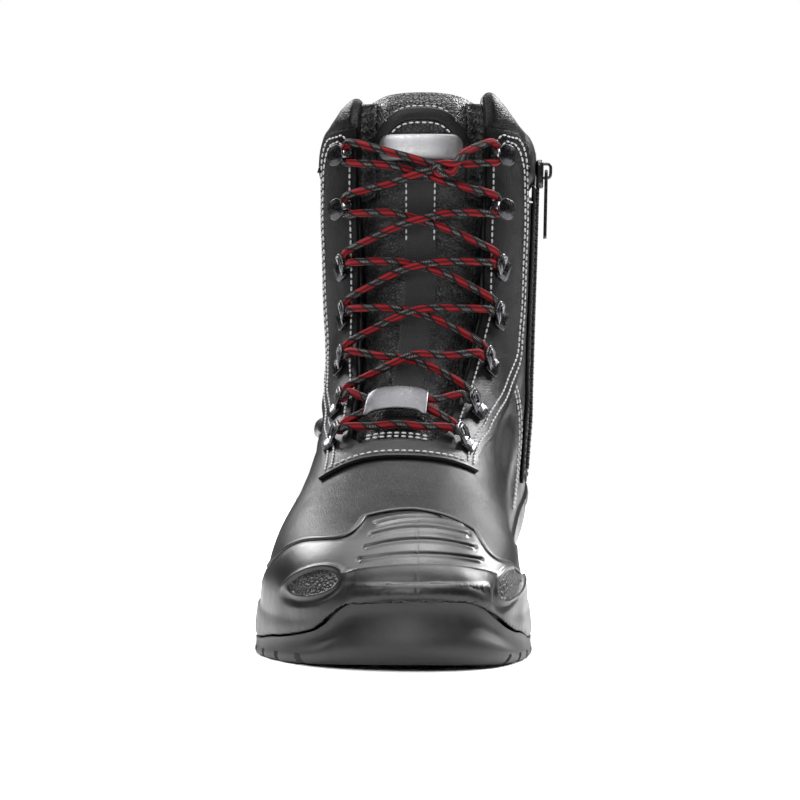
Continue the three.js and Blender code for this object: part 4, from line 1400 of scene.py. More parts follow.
@lru_cache(maxsize=None)
def seam_height(x, y):
    outer, inner = read_table(SOLE_SEAM, max(share_at(y), 0.16))
    side = inner if x > 0 else outer
    if y > length_at(0.27):
        return side
    across, _ = front_view(Vector((x, y, 12)))
    front = front_height(x, y, read_smooth(SEAM_FRONT, across)[0])
    return lerp(front, side, smoothstep(share_at(y), 0.17, 0.27))


def seam_at(point):
    return seam_height(round(point.x, 2), round(point.y, 2))


def outline_inset(index, count, inset):
    points = outline_points(count)
    point = points[index % count]
    along = (points[(index + 1) % count] - points[index - 1]).normalized()
    return Vector((point.x - along.y * inset, point.y + along.x * inset, 0))


def sole_body(levels, count, hollow=False):
    """A closed body through rings of the outline. Each level gives an inset and a height. A
    hollow one is open in the middle, and its last ring meets its first."""
    levels = levels + levels[:1] if hollow else levels
    bm = grid(count, len(levels) - 1)

    def where(a, b):
        index = round(a * count)
        inset_of, height_of = levels[round(b * (len(levels) - 1))]
        foot = outline_points(count)[index % count]
        inset = inset_of(foot) if callable(inset_of) else inset_of
        point = outline_inset(index, count, inset)
        point.z = height_of(foot)
        return point

    shape(bm, where)
    merge(bm, 0.005)
    close(bm)
    return bm


def remeshed(bm, name, voxel, smoothing):
    """Melts closed bodies into one moulded skin."""
    obj = to_object(bm, name)
    melt = obj.modifiers.new("Melt", "REMESH")
    melt.mode = "VOXEL"
    melt.voxel_size = voxel
    soften = obj.modifiers.new("Soften", "SMOOTH")
    soften.iterations = smoothing
    soften.factor = 0.5
    return baked(obj)


# Toe spring of the tread as the photograph shows it
SPRING_SHOWN = 2.6
# Grooves across the toe cap in the front view: height at the middle, drop, half length and
# strength
CAP_MIDDLE = 8.4
GROOVES = (
    (62.9, 3.1, 18.8, 1.0),
    (58.4, 3.4, 20.6, 1.0),
    (53.2, 3.5, 23.2, 1.0),
    (47.0, 2.6, 26.0, 0.8),
)
# Upper edge of the bumper band below them: height at the middle, drop, half length
BUMPER_STEP = (41.4, 2.6, 30.0)
# Grip pads in the front view: middle, half sizes and slant in degrees
PADS = (
    (-36.4, 34.6, 11.6, 5.6, 16),
    (46.6, 33.6, 5.2, 7.6, -22),
)
# Part of the front view that is moulded finely: left, right, foot and top
FINE_PART = (-52, 55, 26, 70)
# Points round the sole's outline
ROUND = 240
# Slots of the tread: shares of the length in the forefoot and in the heel
FRONT_SLOTS = (0.07, 0.125, 0.18, 0.235, 0.29, 0.345, 0.4, 0.455)
HEEL_SLOTS = (0.7, 0.76, 0.92, 0.97)
SLOT_BESIDE = 17


def cap_relief(point, normal, depth):
    """How far the moulding on the toe cap stands out or in."""
    if point.y > length_at(0.3) or point.z < 14:
        return 0.0, False
    across, up = front_view(point)
    total = 0.0
    off = across - CAP_MIDDLE
    if normal.z > 0.05 or normal.y < -0.2:
        for middle, drop, half, strength in GROOVES:
            line = middle - drop * (off / half) ** 2
            inside = 1 - smoothstep(abs(off), half - 1.2, half + 0.3)
            gap = up - line
            total -= depth * strength * inside * bump_at(gap, 0.5)
            total += 0.4 * depth * inside * bump_at(gap + 1.2, 0.7)
            total -= 0.8 * bump_at(math.hypot(abs(off) - half, gap), 0.7)
        middle, drop, half = BUMPER_STEP
        line = middle - drop * (off / half) ** 2
        below = smoothstep(line - up, -0.5, 0.5) * smoothstep(up, 8, 26)
        inside = 1 - smoothstep(abs(off), half - 4, half + 4.5)
        total += 1.5 * below * inside + 0.5 * inside * bump_at(up - line, 0.6)
        mould = bump_at(across - 7.2, 0.28) * (1 - smoothstep(up, 64, 67))
        total -= 0.22 * mould
    padded = False
    for middle, high, long, tall, slant in PADS:
        turn = math.radians(slant)
        dx, dz = across - middle, up - high
        x = (dx * math.cos(turn) + dz * math.sin(turn)) / long
        z = (-dx * math.sin(turn) + dz * math.cos(turn)) / tall
        reach = math.hypot(x, z)
        total -= 0.7 * (1 - smoothstep(reach, 0.82, 1.0))
        total += 0.75 * bump_at(reach - 1.08, 0.12) * smoothstep(z, -0.9, 0.4)
        low = math.hypot((x + 0.15) / 1.2, (z + 0.45) / 1.25)
        total -= 0.9 * (1 - smoothstep(low, 0.7, 1.05)) * smoothstep(reach, 0.95, 1.15)
        padded = padded or reach < 0.92
    return total, padded


@lru_cache(maxsize=None)
def toe_line(x):
    """Where the sole's outline passes a width at the toe, along the length."""
    front = [point for point in outline_points(720) if point.y < length_at(0.12)]
    return min(front, key=lambda point: abs(point.x - x)).y


def band_wall(point):
    """Length of a point of the cap, brought forward where the upright band meets the seam."""
    across, up = front_view(point)
    wall = toe_line(round(point.x * 2) / 2) + 0.5
    if point.y < wall:
        return point.y
    inside = 1 - smoothstep(abs(across - CAP_MIDDLE), 27, 34)
    near = 1 - smoothstep(point.y - wall, 3, 6)
    return lerp(point.y, wall, inside * near * (1 - smoothstep(up, 31.5, 35)))


def is_moulded(edge):
    """Whether an edge of the midsole lies in the finely moulded front of the toe cap."""
    point = (edge.verts[0].co + edge.verts[1].co) * 500
    if point.y > length_at(0.24) or edge.verts[0].normal.y > 0.3:
        return False
    across, up = front_view(point)
    left, right, foot, top = FINE_PART
    return left < across < right and foot < up < top


def cap_edge(turn):
    """Station of the cap's upper edge at a turn in degrees."""
    lean = CAP_LEAN * (1 + 0.9 * smoothstep(turn, 0, 30)) * (1 - smoothstep(abs(turn), 50, 88))
    return read_smooth(CAP_EDGE, abs(turn - lean))[0]


class BOOT_OT_sole(BootPiece):
    """Moulded midsole with its toe cap, and the lugged outsole"""

    bl_idname = "boot.sole"
    bl_label = "Sole"

    def execute(self, context):
        self.midsole()
        self.bead()
        self.outsole()
        return {"FINISHED"}

    def bead(self):
        """Thin raised bead along the cap's upper edge."""
        def path(t):
            turn = lerp(-74, 74, t)
            edge = cap_edge(turn)
            turn = math.radians(turn)
            lift = 2.6 + 0.45 * math.sin(math.pi * t)
            return on_last(edge - 0.1, turn, lift), directions(edge, turn)[0]

        bm = roll(10, 150, along_path(path, 0.004), lambda t: 1.3, lambda t: 0.7)
        dress(to_object(bm, "cap_bead"), finish_of("Moulded sole"))

    def cap(self):
        bm = grid(44, 150)

        def where(a, b):
            turn = (2 * b - 1) * CAP_LOW
            edge = cap_edge(math.degrees(turn))
            loop = a * 2
            station = lerp(0.12, edge, loop if loop <= 1 else 2 - loop)
            low = smoothstep(abs(turn), math.radians(60), math.radians(85))
            rim = smoothstep(loop, 0.9, 1.0) if loop <= 1 else 0
            if loop <= 1:
                out = lerp(CAP, CAP_SIDE, low) - (CAP - 2.3) * rim
            else:
                out = -1.3
            return on_last(station, turn, out)

        shape(bm, where)
        merge(bm, 0.01)
        close(bm)
        return bm

    def midsole(self):
        def wall_top(point):
            return max(floor_at(point.y) + RIM, seam_at(point) + 5)

        def wall_at(share):
            return lambda point: lerp(seam_at(point), wall_top(point), share)

        levels = [
            (14, lambda p: seam_at(p) + 1.2),
            (1.0, lambda p: seam_at(p) + 0.35),
            (0.25, lambda p: seam_at(p) + 0.9),
            (0.1, wall_at(0.3)),
            (0.5, wall_at(0.6)),
            (1.3, wall_at(0.93)),
            (2.2, wall_top),
            (3.2, lambda p: wall_top(p) - 0.2),
            (7.0, lambda p: floor_at(p.y) + 1.0),
            (14, lambda p: floor_at(p.y) + 1.0),
        ]
        body = sole_body(levels, ROUND, hollow=True)
        cap = self.cap()
        mesh = bpy.data.meshes.new("cap")
        cap.to_mesh(mesh)
        cap.free()
        body.from_mesh(mesh)
        bpy.data.meshes.remove(mesh)
        obj = remeshed(body, "midsole_mould", self.sizes.voxel, 6)
        bm = bmesh.new()
        bm.from_mesh(obj.data)
        for vert in bm.verts:
            x, y, z = vert.co * 1000
            if y < length_at(0.27):
                vert.co.z = max(z, seam_height(round(x), round(y)) + 0.3) / 1000
        bm.normal_update()
        fine = [edge for edge in bm.edges if is_moulded(edge)]
        bmesh.ops.subdivide_edges(bm, edges=fine, cuts=1, use_grid_fill=True)
        bm.normal_update()
        depth = self.sizes.rib_depth * 1000
        moves = []
        padded = set()
        for vert in bm.verts:
            amount, on_pad = cap_relief(vert.co * 1000, vert.normal, depth)
            if amount:
                moves.append((vert, vert.normal * amount * 0.001))
            if on_pad:
                padded.add(vert)
        for vert, move in moves:
            vert.co += move
        for vert in bm.verts:
            x, y, z = vert.co * 1000
            if y < length_at(0.06) and abs(x) < 40:
                vert.co.y = band_wall(Vector((x, y, z))) / 1000
        for face in bm.faces:
            if all(vert in padded for vert in face.verts):
                face.material_index = 1
        bm.to_mesh(obj.data)
        bm.free()
        obj.data.shade_smooth()
        dress(obj, finish_of("Moulded sole"), ["midsole"], second=finish_of("Grip pad"))

    def outsole(self):
        def low(point):
            return SPRING_SHOWN * curl(point.y)

        def guard(inset, extra):
            return lambda point: inset + extra * smoothstep(seam_at(point), 9, 20)

        def height(share):
            return lambda point: lerp(low(point), seam_at(point), share)

        lip = [
            (14, low),
            (1.4, low),
            (0.3, lambda point: low(point) + 0.9),
            (guard(0.0, -1.5), height(0.2)),
            (guard(0.0, -1.7), height(0.32)),
            (guard(0.25, -0.6), height(0.45)),
            (guard(0.45, 1.2), height(0.6)),
            (guard(0.55, 2.4), height(0.76)),
            (guard(0.5, 2.2), height(0.9)),
            (guard(0.4, 1.5), lambda point: seam_at(point) - 0.3),
            (guard(1.2, 0.9), seam_at),
            (14, lambda point: min(seam_at(point), floor_at(point.y) - 0.4)),
        ]
        obj = to_object(sole_body(lip, ROUND), "outsole_tread")
        cutters = bmesh.new()
        slots = [(at, 10, SLOT_BESIDE, BALL_WIDTH) for at in FRONT_SLOTS]
        slots += [(at, -10, -BALL_WIDTH, -SLOT_BESIDE) for at in FRONT_SLOTS]
        slots += [(at, 0, -BALL_WIDTH, BALL_WIDTH) for at in HEEL_SLOTS]
        for at, slant, start, end in slots:
            y = length_at(at)
            place_of = Matrix.Translation((0, y, SPRING_SHOWN * curl(y))) @ Matrix.Rotation(
                math.radians(slant), 4, "Z") @ Matrix.Translation(((start + end) / 2, 0, 0))
            size = Matrix.Diagonal((end - start, LUG_SLOT * 0.8, LUG * 1.5, 1))
            bmesh.ops.create_cube(cutters, size=1, matrix=place_of @ size)
        for side in (-1, 1):
            size = Matrix.Diagonal((LUG_SLOT, LENGTH * 0.4, LUG * 1.4, 1))
            place_of = Matrix.Translation((side * SLOT_BESIDE, length_at(0.265), 0))
            bmesh.ops.create_cube(cutters, size=1, matrix=place_of @ size)
        arch = bmesh.ops.create_cube(cutters, size=1)["verts"]
        for vert in arch:
            low = vert.co.z < 0
            front = vert.co.y < 0
            share = (0.485 if low else 0.5) if front else (0.65 if low else 0.635)
            vert.co = Vector((vert.co.x * 200, length_at(share), -20 if low else LUG))
        cutter = to_object(cutters, "slots")
        cut = obj.modifiers.new("Slots", "BOOLEAN")
        cut.operation = "DIFFERENCE"
        cut.solver = "EXACT"
        cut.use_self = True
        cut.object = cutter
        baked(obj)
        bpy.data.objects.remove(cutter)
        bm = bmesh.new()
        bm.from_mesh(obj.data)
        merge(bm, 0.00002)
        bm.to_mesh(obj.data)
        bm.free()
        obj.data.shade_smooth()
        obj.data.set_sharp_from_angle(angle=math.radians(38))
        dress(obj, finish_of("Tread rubber"), ["outsole"])


# Hardware, laces and zip

def frame_on_last(station, turn, out):
    """A frame on the last: x away from the throat, z outward."""
    normal, around, up = directions(station, turn)
    side = -1 if turn < 0 else 1
    matrix = Matrix((around * side, up * side, normal)).transposed().to_4x4()
    matrix.translation = on_last(station, turn, out)
    return matrix


def through(points, count):
    """Points of a smooth curve through the given ones at equal distances, and its length."""
    fine = []
    last = len(points) - 1
    for k in range(last):
        near = [points[clamp(k + i, 0, last)] for i in (-1, 0, 1, 2)]
        for j in range(12):
            fine.append(Vector([catmull(*values, j / 12) for values in zip(*near)]))
    fine.append(Vector(points[-1]))
    return evenly(fine, count)


def tube(points, radius, sides, count, flat=1.0, period=None):
    """A closed round bar or cord through the points. A period repeats its U along it."""
    line, length = through(points, count)
    across = Vector((0.3, 0.2, 1)).normalized()
    rows = []
    for i, point in enumerate(line):
        along = (line[min(i + 1, count)] - line[max(i - 1, 0)]).normalized()
        across = (across - along * across.dot(along)).normalized()
        rows.append((point, along.cross(across), across.copy()))
    bm = grid(count, sides)

    def where(t, b):
        point, side, out = rows[round(t * count)]
        angle = 2 * math.pi * b
        end = min(t, 1 - t) * length / radius
        size = radius * math.sqrt(clamp(end * 2, 0.02, 1))
        return point + side * (size * math.cos(angle)) + out * (size * flat * math.sin(angle))

    if period:
        layer = bm.loops.layers.uv.active
        for face in bm.faces:
            for loop in face.loops:
                loop[layer].uv.x *= length / period
    shape(bm, where)
    merge(bm, 0.002)
    close(bm)
    return bm


def rounded_plate(long, wide, thick, corner, centre=(0, 0, 0), dome=0.0):
    """A plate with round corners and soft edges. It stands on its centre's height."""
    bm = bmesh.new()
    bmesh.ops.create_cube(bm, size=1)
    for vert in bm.verts:
        vert.co = Vector((vert.co.x * long, vert.co.y * wide, (vert.co.z + 0.5) * thick))
    upright = [edge for edge in bm.edges if abs(edge.verts[0].co.z - edge.verts[1].co.z) > thick / 2]
    bmesh.ops.bevel(bm, geom=upright, offset=corner, segments=6, profile=0.5, affect="EDGES", material=-1)
    rim = [edge for edge in bm.edges if edge.calc_face_angle(0) > 1]
    bmesh.ops.bevel(
        bm, geom=rim, offset=thick * 0.3, segments=3, profile=0.5, affect="EDGES", material=-1)
    if dome:
        top = [face for face in bm.faces if face.normal.z > 0.99]
        for _ in range(3):
            bmesh.ops.inset_region(bm, faces=top, thickness=long * 0.09, depth=dome / 3)
    bmesh.ops.translate(bm, verts=bm.verts, vec=centre)
    return bm


def join(bodies, kinds=None):
    """Puts bodies into one mesh. A kind gives each its material's number."""
    whole = bmesh.new()
    for i, body in enumerate(bodies):
        for face in body.faces:
            face.material_index = kinds[i] if kinds else 0
        mesh = bpy.data.meshes.new("part")
        body.to_mesh(mesh)
        body.free()
        whole.from_mesh(mesh)
        bpy.data.meshes.remove(mesh)
    return whole


def lace_ring():
    half = RING_WIDTH / 2
    plate = rounded_plate(RING_REACH, RING_WIDTH, PLATE * 1.3, 1.8, (RING_REACH / 3, 0, 0), 0.5)
    block = rounded_plate(2.6, 4.4, 1.9, 0.8, (-0.4, 0, 0.5))
    loops = []
    for inner in (0.0, 1.5):
        wide = half - inner
        rise = RING_RISE + 0.5
        loops.append(tube([
            (RING_REACH / 4, -wide + 1.4, 0.6),
            (-0.6, -wide + 0.7, rise * 0.45),
            (-RING_REACH / 3, -wide + 0.5, rise * 0.72),
            (-RING_REACH * 0.85 + inner * 0.9, -wide * 0.62, rise),
            (-RING_REACH * 0.92 + inner, 0, rise + 0.1),
            (-RING_REACH * 0.85 + inner * 0.9, wide * 0.62, rise),
            (-RING_REACH / 3, wide - 0.5, rise * 0.72),
            (-0.6, wide - 0.7, rise * 0.45),
            (RING_REACH / 4, wide - 1.4, 0.6),
        ], WIRE * 0.42, 10, 36))
    return join([plate, block, *loops])


def lace_hook():
    base = rounded_plate(RING_REACH, RING_WIDTH * 0.7, PLATE, WIRE)
    head = rounded_plate(RING_WIDTH, RING_WIDTH * 1.02, PLATE * 1.2, 3.6,
                         (PLATE, 0, HOOK_HEIGHT - PLATE), 0.7)
    neck = tube([
        (-0.5, 0, 0.7),
        (-2.6, 0, 0.9),
        (-3.5, 0, 2.2),
        (-3.5, 0, HOOK_HEIGHT - 1.8),
        (-2.7, 0, HOOK_HEIGHT - 0.5),
        (-0.8, 0, HOOK_HEIGHT - 0.3),
    ], 1.9, 14, 30, 0.3)
    return join([base, neck, head], [0, 1, 0])


class BOOT_OT_hardware(BootPiece):
    """Two pairs of lace hooks and five pairs of lace rings"""

    bl_idname = "boot.hardware"
    bl_label = "Hooks and rings"

    def execute(self, context):
        for i, (station, turn, kind) in enumerate(ROWS):
            for name, side in (("outer", -1), ("inner", 1)):
                node = f"{kind}_{name}_{i + 1}"
                bm = lace_hook() if kind == "hook" else lace_ring()
                matrix = frame_on_last(station, side * math.radians(turn), SEAT)
                bmesh.ops.transform(bm, matrix=matrix, verts=bm.verts)
                dress(to_object(bm, f"{node}_metal"), finish_of("Dark metal"), [node],
                      second=finish_of("Bright metal"))
        return {"FINISHED"}


CROSSING = STRAP_THICK + 3.5 * GAP + LACE / 2
# Length of one red and one black block
LACE_PERIOD = 12.5
# Where the lace turns in at a hook or a ring, seen from it: away from the throat, up and out
TURNS = {
    "hook": ((-6.6, -4.6, 2.4), (-2.6, -3.7, 3.0), (0.4, 0, 3.3), (-2.6, 3.7, 3.0), (-6.6, 4.6, 2.6)),
    "ring": ((-9.6, -3.0, 2.6), (-6.0, -2.0, 2.0), (-3.4, 0, 1.9), (-6.0, 2.0, 2.0), (-9.6, 3.0, 2.6)),
}
# Where the strands are tied: height and turn
TIE_HEIGHT = 206.0
TIE_TURN = math.radians(12)


class BOOT_OT_laces(BootPiece):
    """Round lace through the rings and hooks, with its tied strands and its plate"""

    bl_idname = "boot.laces"
    bl_label = "Laces"

    def execute(self, context):
        radius = self.sizes.lace * 500
        cords = [self.run(-1), self.run(1), self.bar(), self.tie(-1), self.tie(1)]
        bodies = []
        for points in cords:
            _, length = through(points, 40)
            bodies.append(tube(points, radius, 14, round(length / 1.1), 1.0, LACE_PERIOD))
        dress(to_object(join(bodies), "lace_cord"), finish_of("Lace braid"), ["lace"])
        self.plate()
        return {"FINISHED"}

    def beside(self, row, side, x, y, z):
        station, turn, _ = row
        matrix = frame_on_last(station, side * math.radians(turn), SEAT)
        return matrix @ Vector((x, side * y, z))

    def turn_in(self, row, side):
        """Points where the lace goes in under a ring or round a hook's neck, and out again."""
        return [self.beside(row, side, *spot) for spot in TURNS[row[2]]]

    def crossing(self, low, high, side, over):
        """Points over the tongue between two rows. They start on the given side."""
        points = []
        for t in (0.2, 0.35, 0.5, 0.65, 0.8):
            station = lerp(low[0] + 0.35, high[0] - 0.4, t)
            turn = math.radians(lerp(side * (low[1] - 11), -side * (high[1] - 11), t))
            top = tongue_out(station, 0) + CROSSING + (4.0 if over else 0.3) * bump_at(t - 0.5, 0.2)
            out = lerp(SEAT + 1.6, top, math.sin(math.pi * t) ** 0.8)
            points.append(on_last(station, turn, out))
        return points

    def run(self, side):
        over = side < 0
        points = []
        rows = list(reversed(ROWS))
        for low, high in zip(rows, rows[1:]):
            points += self.turn_in(low, side) if points else self.turn_in(low, side)[2:]
            points += self.crossing(low, high, side, over)
            side = -side
            over = not over
        return points + self.turn_in(rows[-1], side)

    def bar(self):
        row = ROWS[-1]
        points = [self.beside(row, -1, -3.6, -1.2, 2.0), self.beside(row, -1, -8.5, -1.2, 2.4)]
        for t in (0.25, 0.5, 0.75):
            turn = math.radians(lerp(-24, 24, t))
            points.append(on_last(row[0] - 0.15, turn, tongue_out(row[0], 0) + CROSSING + 0.6))
        points += [self.beside(row, 1, -8.5, -1.2, 2.4), self.beside(row, 1, -3.6, -1.2, 2.0)]
        return points

    def tie(self, side):
        row = ROWS[0]
        start = self.beside(row, side, -6.6, 4.6, 2.6)
        inner = self.beside(row, side, -2.6, 3.7, 3.0)
        station = station_at(TIE_HEIGHT, TIE_TURN)
        knot = on_last(station, TIE_TURN, tongue_out(station, 0) + CROSSING + 4.2)
        middle = start.lerp(knot, 0.55) + Vector((0, -2.2, 0.6 * side))
        towards = Vector((-side, 0, 0))
        down = Vector((0, -0.4, -1)).normalized()
        front = Vector((0, -1, 0))
        lift = front * (1.6 * side)
        return [
            inner, start, middle, knot - towards * 5 + lift, knot + lift * 1.6,
            knot + towards * 4.2 + down * 1.5, knot + towards * 2.4 + down * 4.6 - lift,
            knot - towards * 1.6 + down * 3.4 - lift * 1.5, knot - towards * 2.0 + down * 0.2 - front * 3.0,
        ]

    def plate(self):
        bm = grid(50, 26)
        middle = 9.6

        def where(a, b):
            x, y = 2 * a - 1, 2 * b - 1
            narrow = 1 - 0.22 * smoothstep(abs(x), 0.66, 1.0) ** 2
            station = middle + 0.33 * y * narrow - 0.12 * smoothstep(abs(x), 0.72, 0.95) * (y < -0.6)
            turn = math.radians(lerp(-15.5, 12.5, a))
            out = tongue_out(middle, 0) + CROSSING + LACE / 2 + 2 * GAP + PLATE
            out += 1.6 + 1.2 * (1 - x * x) - 0.6 * y * y
            return on_last(station, turn, out)

        shape(bm, where)
        thicken(bm, PLATE, flip=False)
        dress(to_object(bm, "lace_plate_metal"), finish_of("Plate metal"), ["lace_plate"])


ZIP_SEAT = GAP + ZIP_TAPE_THICK + GAP
SLIDER_Z = ZIP_TOP - SLIDER_LENGTH / 2
PULL_CLEAR = 2 * GAP
PIVOT_Y = SLIDER_LENGTH * 0.12
PIVOT_Z = SLIDER_THICK + PULL_WIRE / 2 + PULL_CLEAR
# Distance from one tooth to the next, and from the zip's middle
TOOTH_PITCH = 1.35
TOOTH_ACROSS = 0.75
# Upper ends of the folded edges and of their stitches
EDGE_TOP = 199
EDGE_ROW_TOP = 192


def zip_path(t, low, high):
    z = lerp(low, high, t)
    return read_table(ZIP_LINE, z)[0], z


def zip_point(t, low, high, across, out):
    y, z = zip_path(t, low, high)
    station, turn = inner_place(y + across, z)
    return on_last(station, turn, out), directions(station, turn)[0]


class BOOT_OT_zip(BootPiece):
    """Side zip: its tape, its teeth, the slider and the pull that swings on it"""

    bl_idname = "boot.zip"
    bl_label = "Side zip"

    def execute(self, context):
        self.tape()
        self.teeth()
        self.slider()
        self.flaps()
        return {"FINISHED"}

    def tape(self):
        bm = grid(90, 10)

        def where(a, b):
            point, _ = zip_point(a, ZIP_FOOT - 3, ZIP_TOP + 3, (b - 0.5) * ZIP_TAPE, GAP + ZIP_TAPE_THICK)
            return point

        shape(bm, where)
        thicken(bm, ZIP_TAPE_THICK)
        dress(to_object(bm, "zip_tape_cloth"), finish_of("Zip tape"), ["zip_tape"])

    def teeth(self):
        bm = bmesh.new()
        low, high = ZIP_FOOT, ZIP_TOP - SLIDER_LENGTH
        count = round((high - low) / TOOTH_PITCH)
        lift = ZIP_SEAT + ZIP_TEETH_THICK / 2
        for i in range(count):
            side = 1 if i % 2 else -1
            t = (i + 0.5) / count
            point, out = zip_point(t, low, high, side * TOOTH_ACROSS, lift)
            later, _ = zip_point(min(t + 0.01, 1), low, high, side * TOOTH_ACROSS, lift)
            up = (later - point).normalized()
            across = up.cross(out).normalized()
            turn = Matrix((across, up, out)).transposed().to_4x4()
            size = Matrix.Diagonal((3.2, 1.5, ZIP_TEETH_THICK, 1))
            tooth = bmesh.ops.create_cube(bm, size=1, matrix=Matrix.Translation(point) @ turn @ size)
            edges = list({edge for vert in tooth["verts"] for edge in vert.link_edges})
            bmesh.ops.bevel(
                bm, geom=edges, offset=0.35, segments=2, profile=0.5, affect="EDGES", material=-1)
        dress(to_object(bm, "zip_teeth_row"), finish_of("Zip teeth"), ["zip_teeth"])

    def slider_frame(self):
        station, turn = inner_place(read_table(ZIP_LINE, SLIDER_Z)[0], SLIDER_Z)
        out = directions(station, turn)[0]
        across = Vector((0, 0, 1)).cross(out).normalized()
        matrix = Matrix((across, out.cross(across), out)).transposed().to_4x4()
        matrix.translation = on_last(station, turn, ZIP_SEAT)
        return matrix

    def slider(self):
        matrix = self.slider_frame()
        body = rounded_plate(SLIDER_WIDTH, SLIDER_LENGTH, SLIDER_THICK, SLIDER_WIDTH / 3.2)
        rise = PIVOT_Z + PULL_WIRE / 2 + PULL_CLEAR
        reach = 2.1 * PULL_WIRE
        bridge = tube([
            (0, PIVOT_Y + reach, SLIDER_THICK / 2),
            (0, PIVOT_Y + reach, rise),
            (0, PIVOT_Y, rise + PULL_WIRE / 2),
            (0, PIVOT_Y - reach, rise),
            (0, PIVOT_Y - reach, SLIDER_THICK / 2),
        ], PULL_WIRE / 2, 12, 30)
        whole = join([body, bridge])
        bmesh.ops.transform(whole, matrix=matrix, verts=whole.verts)
        dress(to_object(whole, "zip_slider_metal"), finish_of("Dark metal"), ["zip_slider"])
        half = PULL_WIDTH / 2 - PULL_WIRE / 2
        ring = []
        for i in range(25):
            angle = math.pi * i / 12
            low = math.sin(angle) < -1e-6
            x = half * math.cos(angle)
            y = half * math.sin(angle) - (PULL_LENGTH if low else 0)
            ring.append((x, y - half, 0))
        pull = tube([*ring[:13], *ring[13:24], ring[0], ring[1]], PULL_WIRE / 2, 12, 110)
        bmesh.ops.transform(
            pull, matrix=matrix @ Matrix.Translation((0, PIVOT_Y, PIVOT_Z)), verts=pull.verts)
        dress(to_object(pull, "zip_pull_metal"), finish_of("Dark metal"), ["zip_pull"], "pull")

    def flaps(self):
        """Folded leather edges along both sides of the tape, with their stitches."""
        paths = []
        for name, side in (("zip_edge_front", -1), ("zip_edge_back", 1)):
            def edge(t, side=side):
                return zip_point(t, ZIP_FOOT - 6, EDGE_TOP, side * 8.2, 0.75)

            def row(t, side=side):
                return zip_point(t, ZIP_FOOT - 4, EDGE_ROW_TOP, side * 9.2, 1.62)

            bm = roll(14, 90, along_path(edge, 0.01), lambda t: 2.4, lambda t: 0.9, 2.6)
            dress(to_object(bm, name), finish_of("Smooth leather"))
            paths.append(row)
        self.stitches("zip_stitches", paths, "leather", finish="Dark thread")


class BOOT_OT_seams(BootPiece):
    """Heel counter, and the seams of the side panels"""

    bl_idname = "boot.seams"
    bl_label = "Side seams"

    def execute(self, context):
        self.counter()
        self.outer_side()
        self.inner_side()
        return {"FINISHED"}

    def path_through(self, places, lift):
        """A path over the sides through (turn in degrees, height) places."""
        stations = [(station_at(z, math.radians(turn)), turn) for turn, z in places]
        return last_path(stations, lift)

    def counter_edge(self, a):
        """Turn in degrees and height of the heel counter's upper edge."""
        return lerp(96, 264, a), lerp(33, 84, math.sin(math.pi * a) ** 0.55)

    def counter(self):
        """Heel counter: a leather panel round the heel with a double row along its top."""
        bm = grid(120, 22)

        def where(a, b):
            around, high = self.counter_edge(a)
            turn = wrapped(math.radians(around))
            z = lerp(34, high, b)
            return on_last(station_at(round(z, 2), turn), turn, 1.5 * smoothstep(b, 0.0, 0.1))

        shape(bm, where)
        thicken(bm, 1.6, 0.3, flip=False)
        dress(to_object(bm, "heel_counter"), finish_of("Smooth leather"))
        paths = []
        for drop in (2.4, 4.8):
            places = []
            for i in range(31):
                around, high = self.counter_edge(lerp(0.1, 0.955, i / 30))
                places.append((around, high - drop))
            paths.append(self.around_path(places, 1.75))
        self.stitches("counter_stitches", paths, "leather")

    def around_path(self, places, lift):
        """As path_through, for places behind the heel, whose turn passes 180 degrees."""
        def path(t):
            around, z = curve_at(places, t)
            turn = math.radians(around - 360 if around > 180 else around)
            station = station_at(round(z, 2), turn)
            return on_last(station, turn, lift), directions(station, turn)[0]

        return path

    def outer_side(self):
        places = [(-60, 104), (-74, 108), (-92, 110), (-112, 106), (-134, 96), (-152, 88)]
        low = [(turn, z - 3.0) for turn, z in places]
        self.stitches("outer_seams", [self.path_through(row, 0.4) for row in (places, low)], "leather")

    def inner_side(self):
        places = [(58, 112), (66, 104), (76, 90), (84, 72), (88, 56)]
        later = [(turn + 3.0, z) for turn, z in places]
        self.stitches("inner_seams", [self.path_through(row, 0.4) for row in (places, later)], "leather")


# Half width of the ankle's roll
BAND_HALF = 3.7


class BOOT_OT_ankle_band(BootPiece):
    """Raised roll from the eyestay round the outer side"""

    bl_idname = "boot.ankle_band"
    bl_label = "Ankle band"

    def execute(self, context):
        def spot(t):
            turn = math.radians(lerp(-54, -150, t))
            z = lerp(93, 62, t) + 6 * math.sin(math.pi * t)
            return station_at(round(z, 3), turn), turn

        def centre(t):
            station, turn = spot(t)
            after, before = spot(min(t + 0.01, 1)), spot(max(t - 0.01, 0))
            out = directions(station, turn)[0]
            along = (on_last(*after, 0) - on_last(*before, 0)).normalized()
            return on_last(station, turn, 0.9), out.cross(along).normalized(), out

        def thick(t):
            return lerp(2.1, 0.9, t ** 3) * math.sqrt(clamp(min(t, 1 - t) * 30, 0.1, 1))

        bm = roll(24, 110, centre, lambda t: BAND_HALF, thick, 2.2)
        dress(to_object(bm, "ankle_roll"), finish_of("Smooth leather"), ["ankle_band"])
        return {"FINISHED"}


# Lights: place, size and power
LIGHTS = {
    "left": ((-0.85, 0.75, 0.95), 0.5, 16),
    "right": ((0.85, 0.75, 0.95), 0.5, 34),
    "top": ((0.05, 0.45, 1.45), 0.35, 5),
    "front": ((-0.35, -1.5, 1.0), 0.6, 14),
    "sky": ((0.0, -0.1, 2.6), 2.6, 108),
}
FLOOR_RADIUS = 1.25
BACKDROP_LIGHT = 0.05


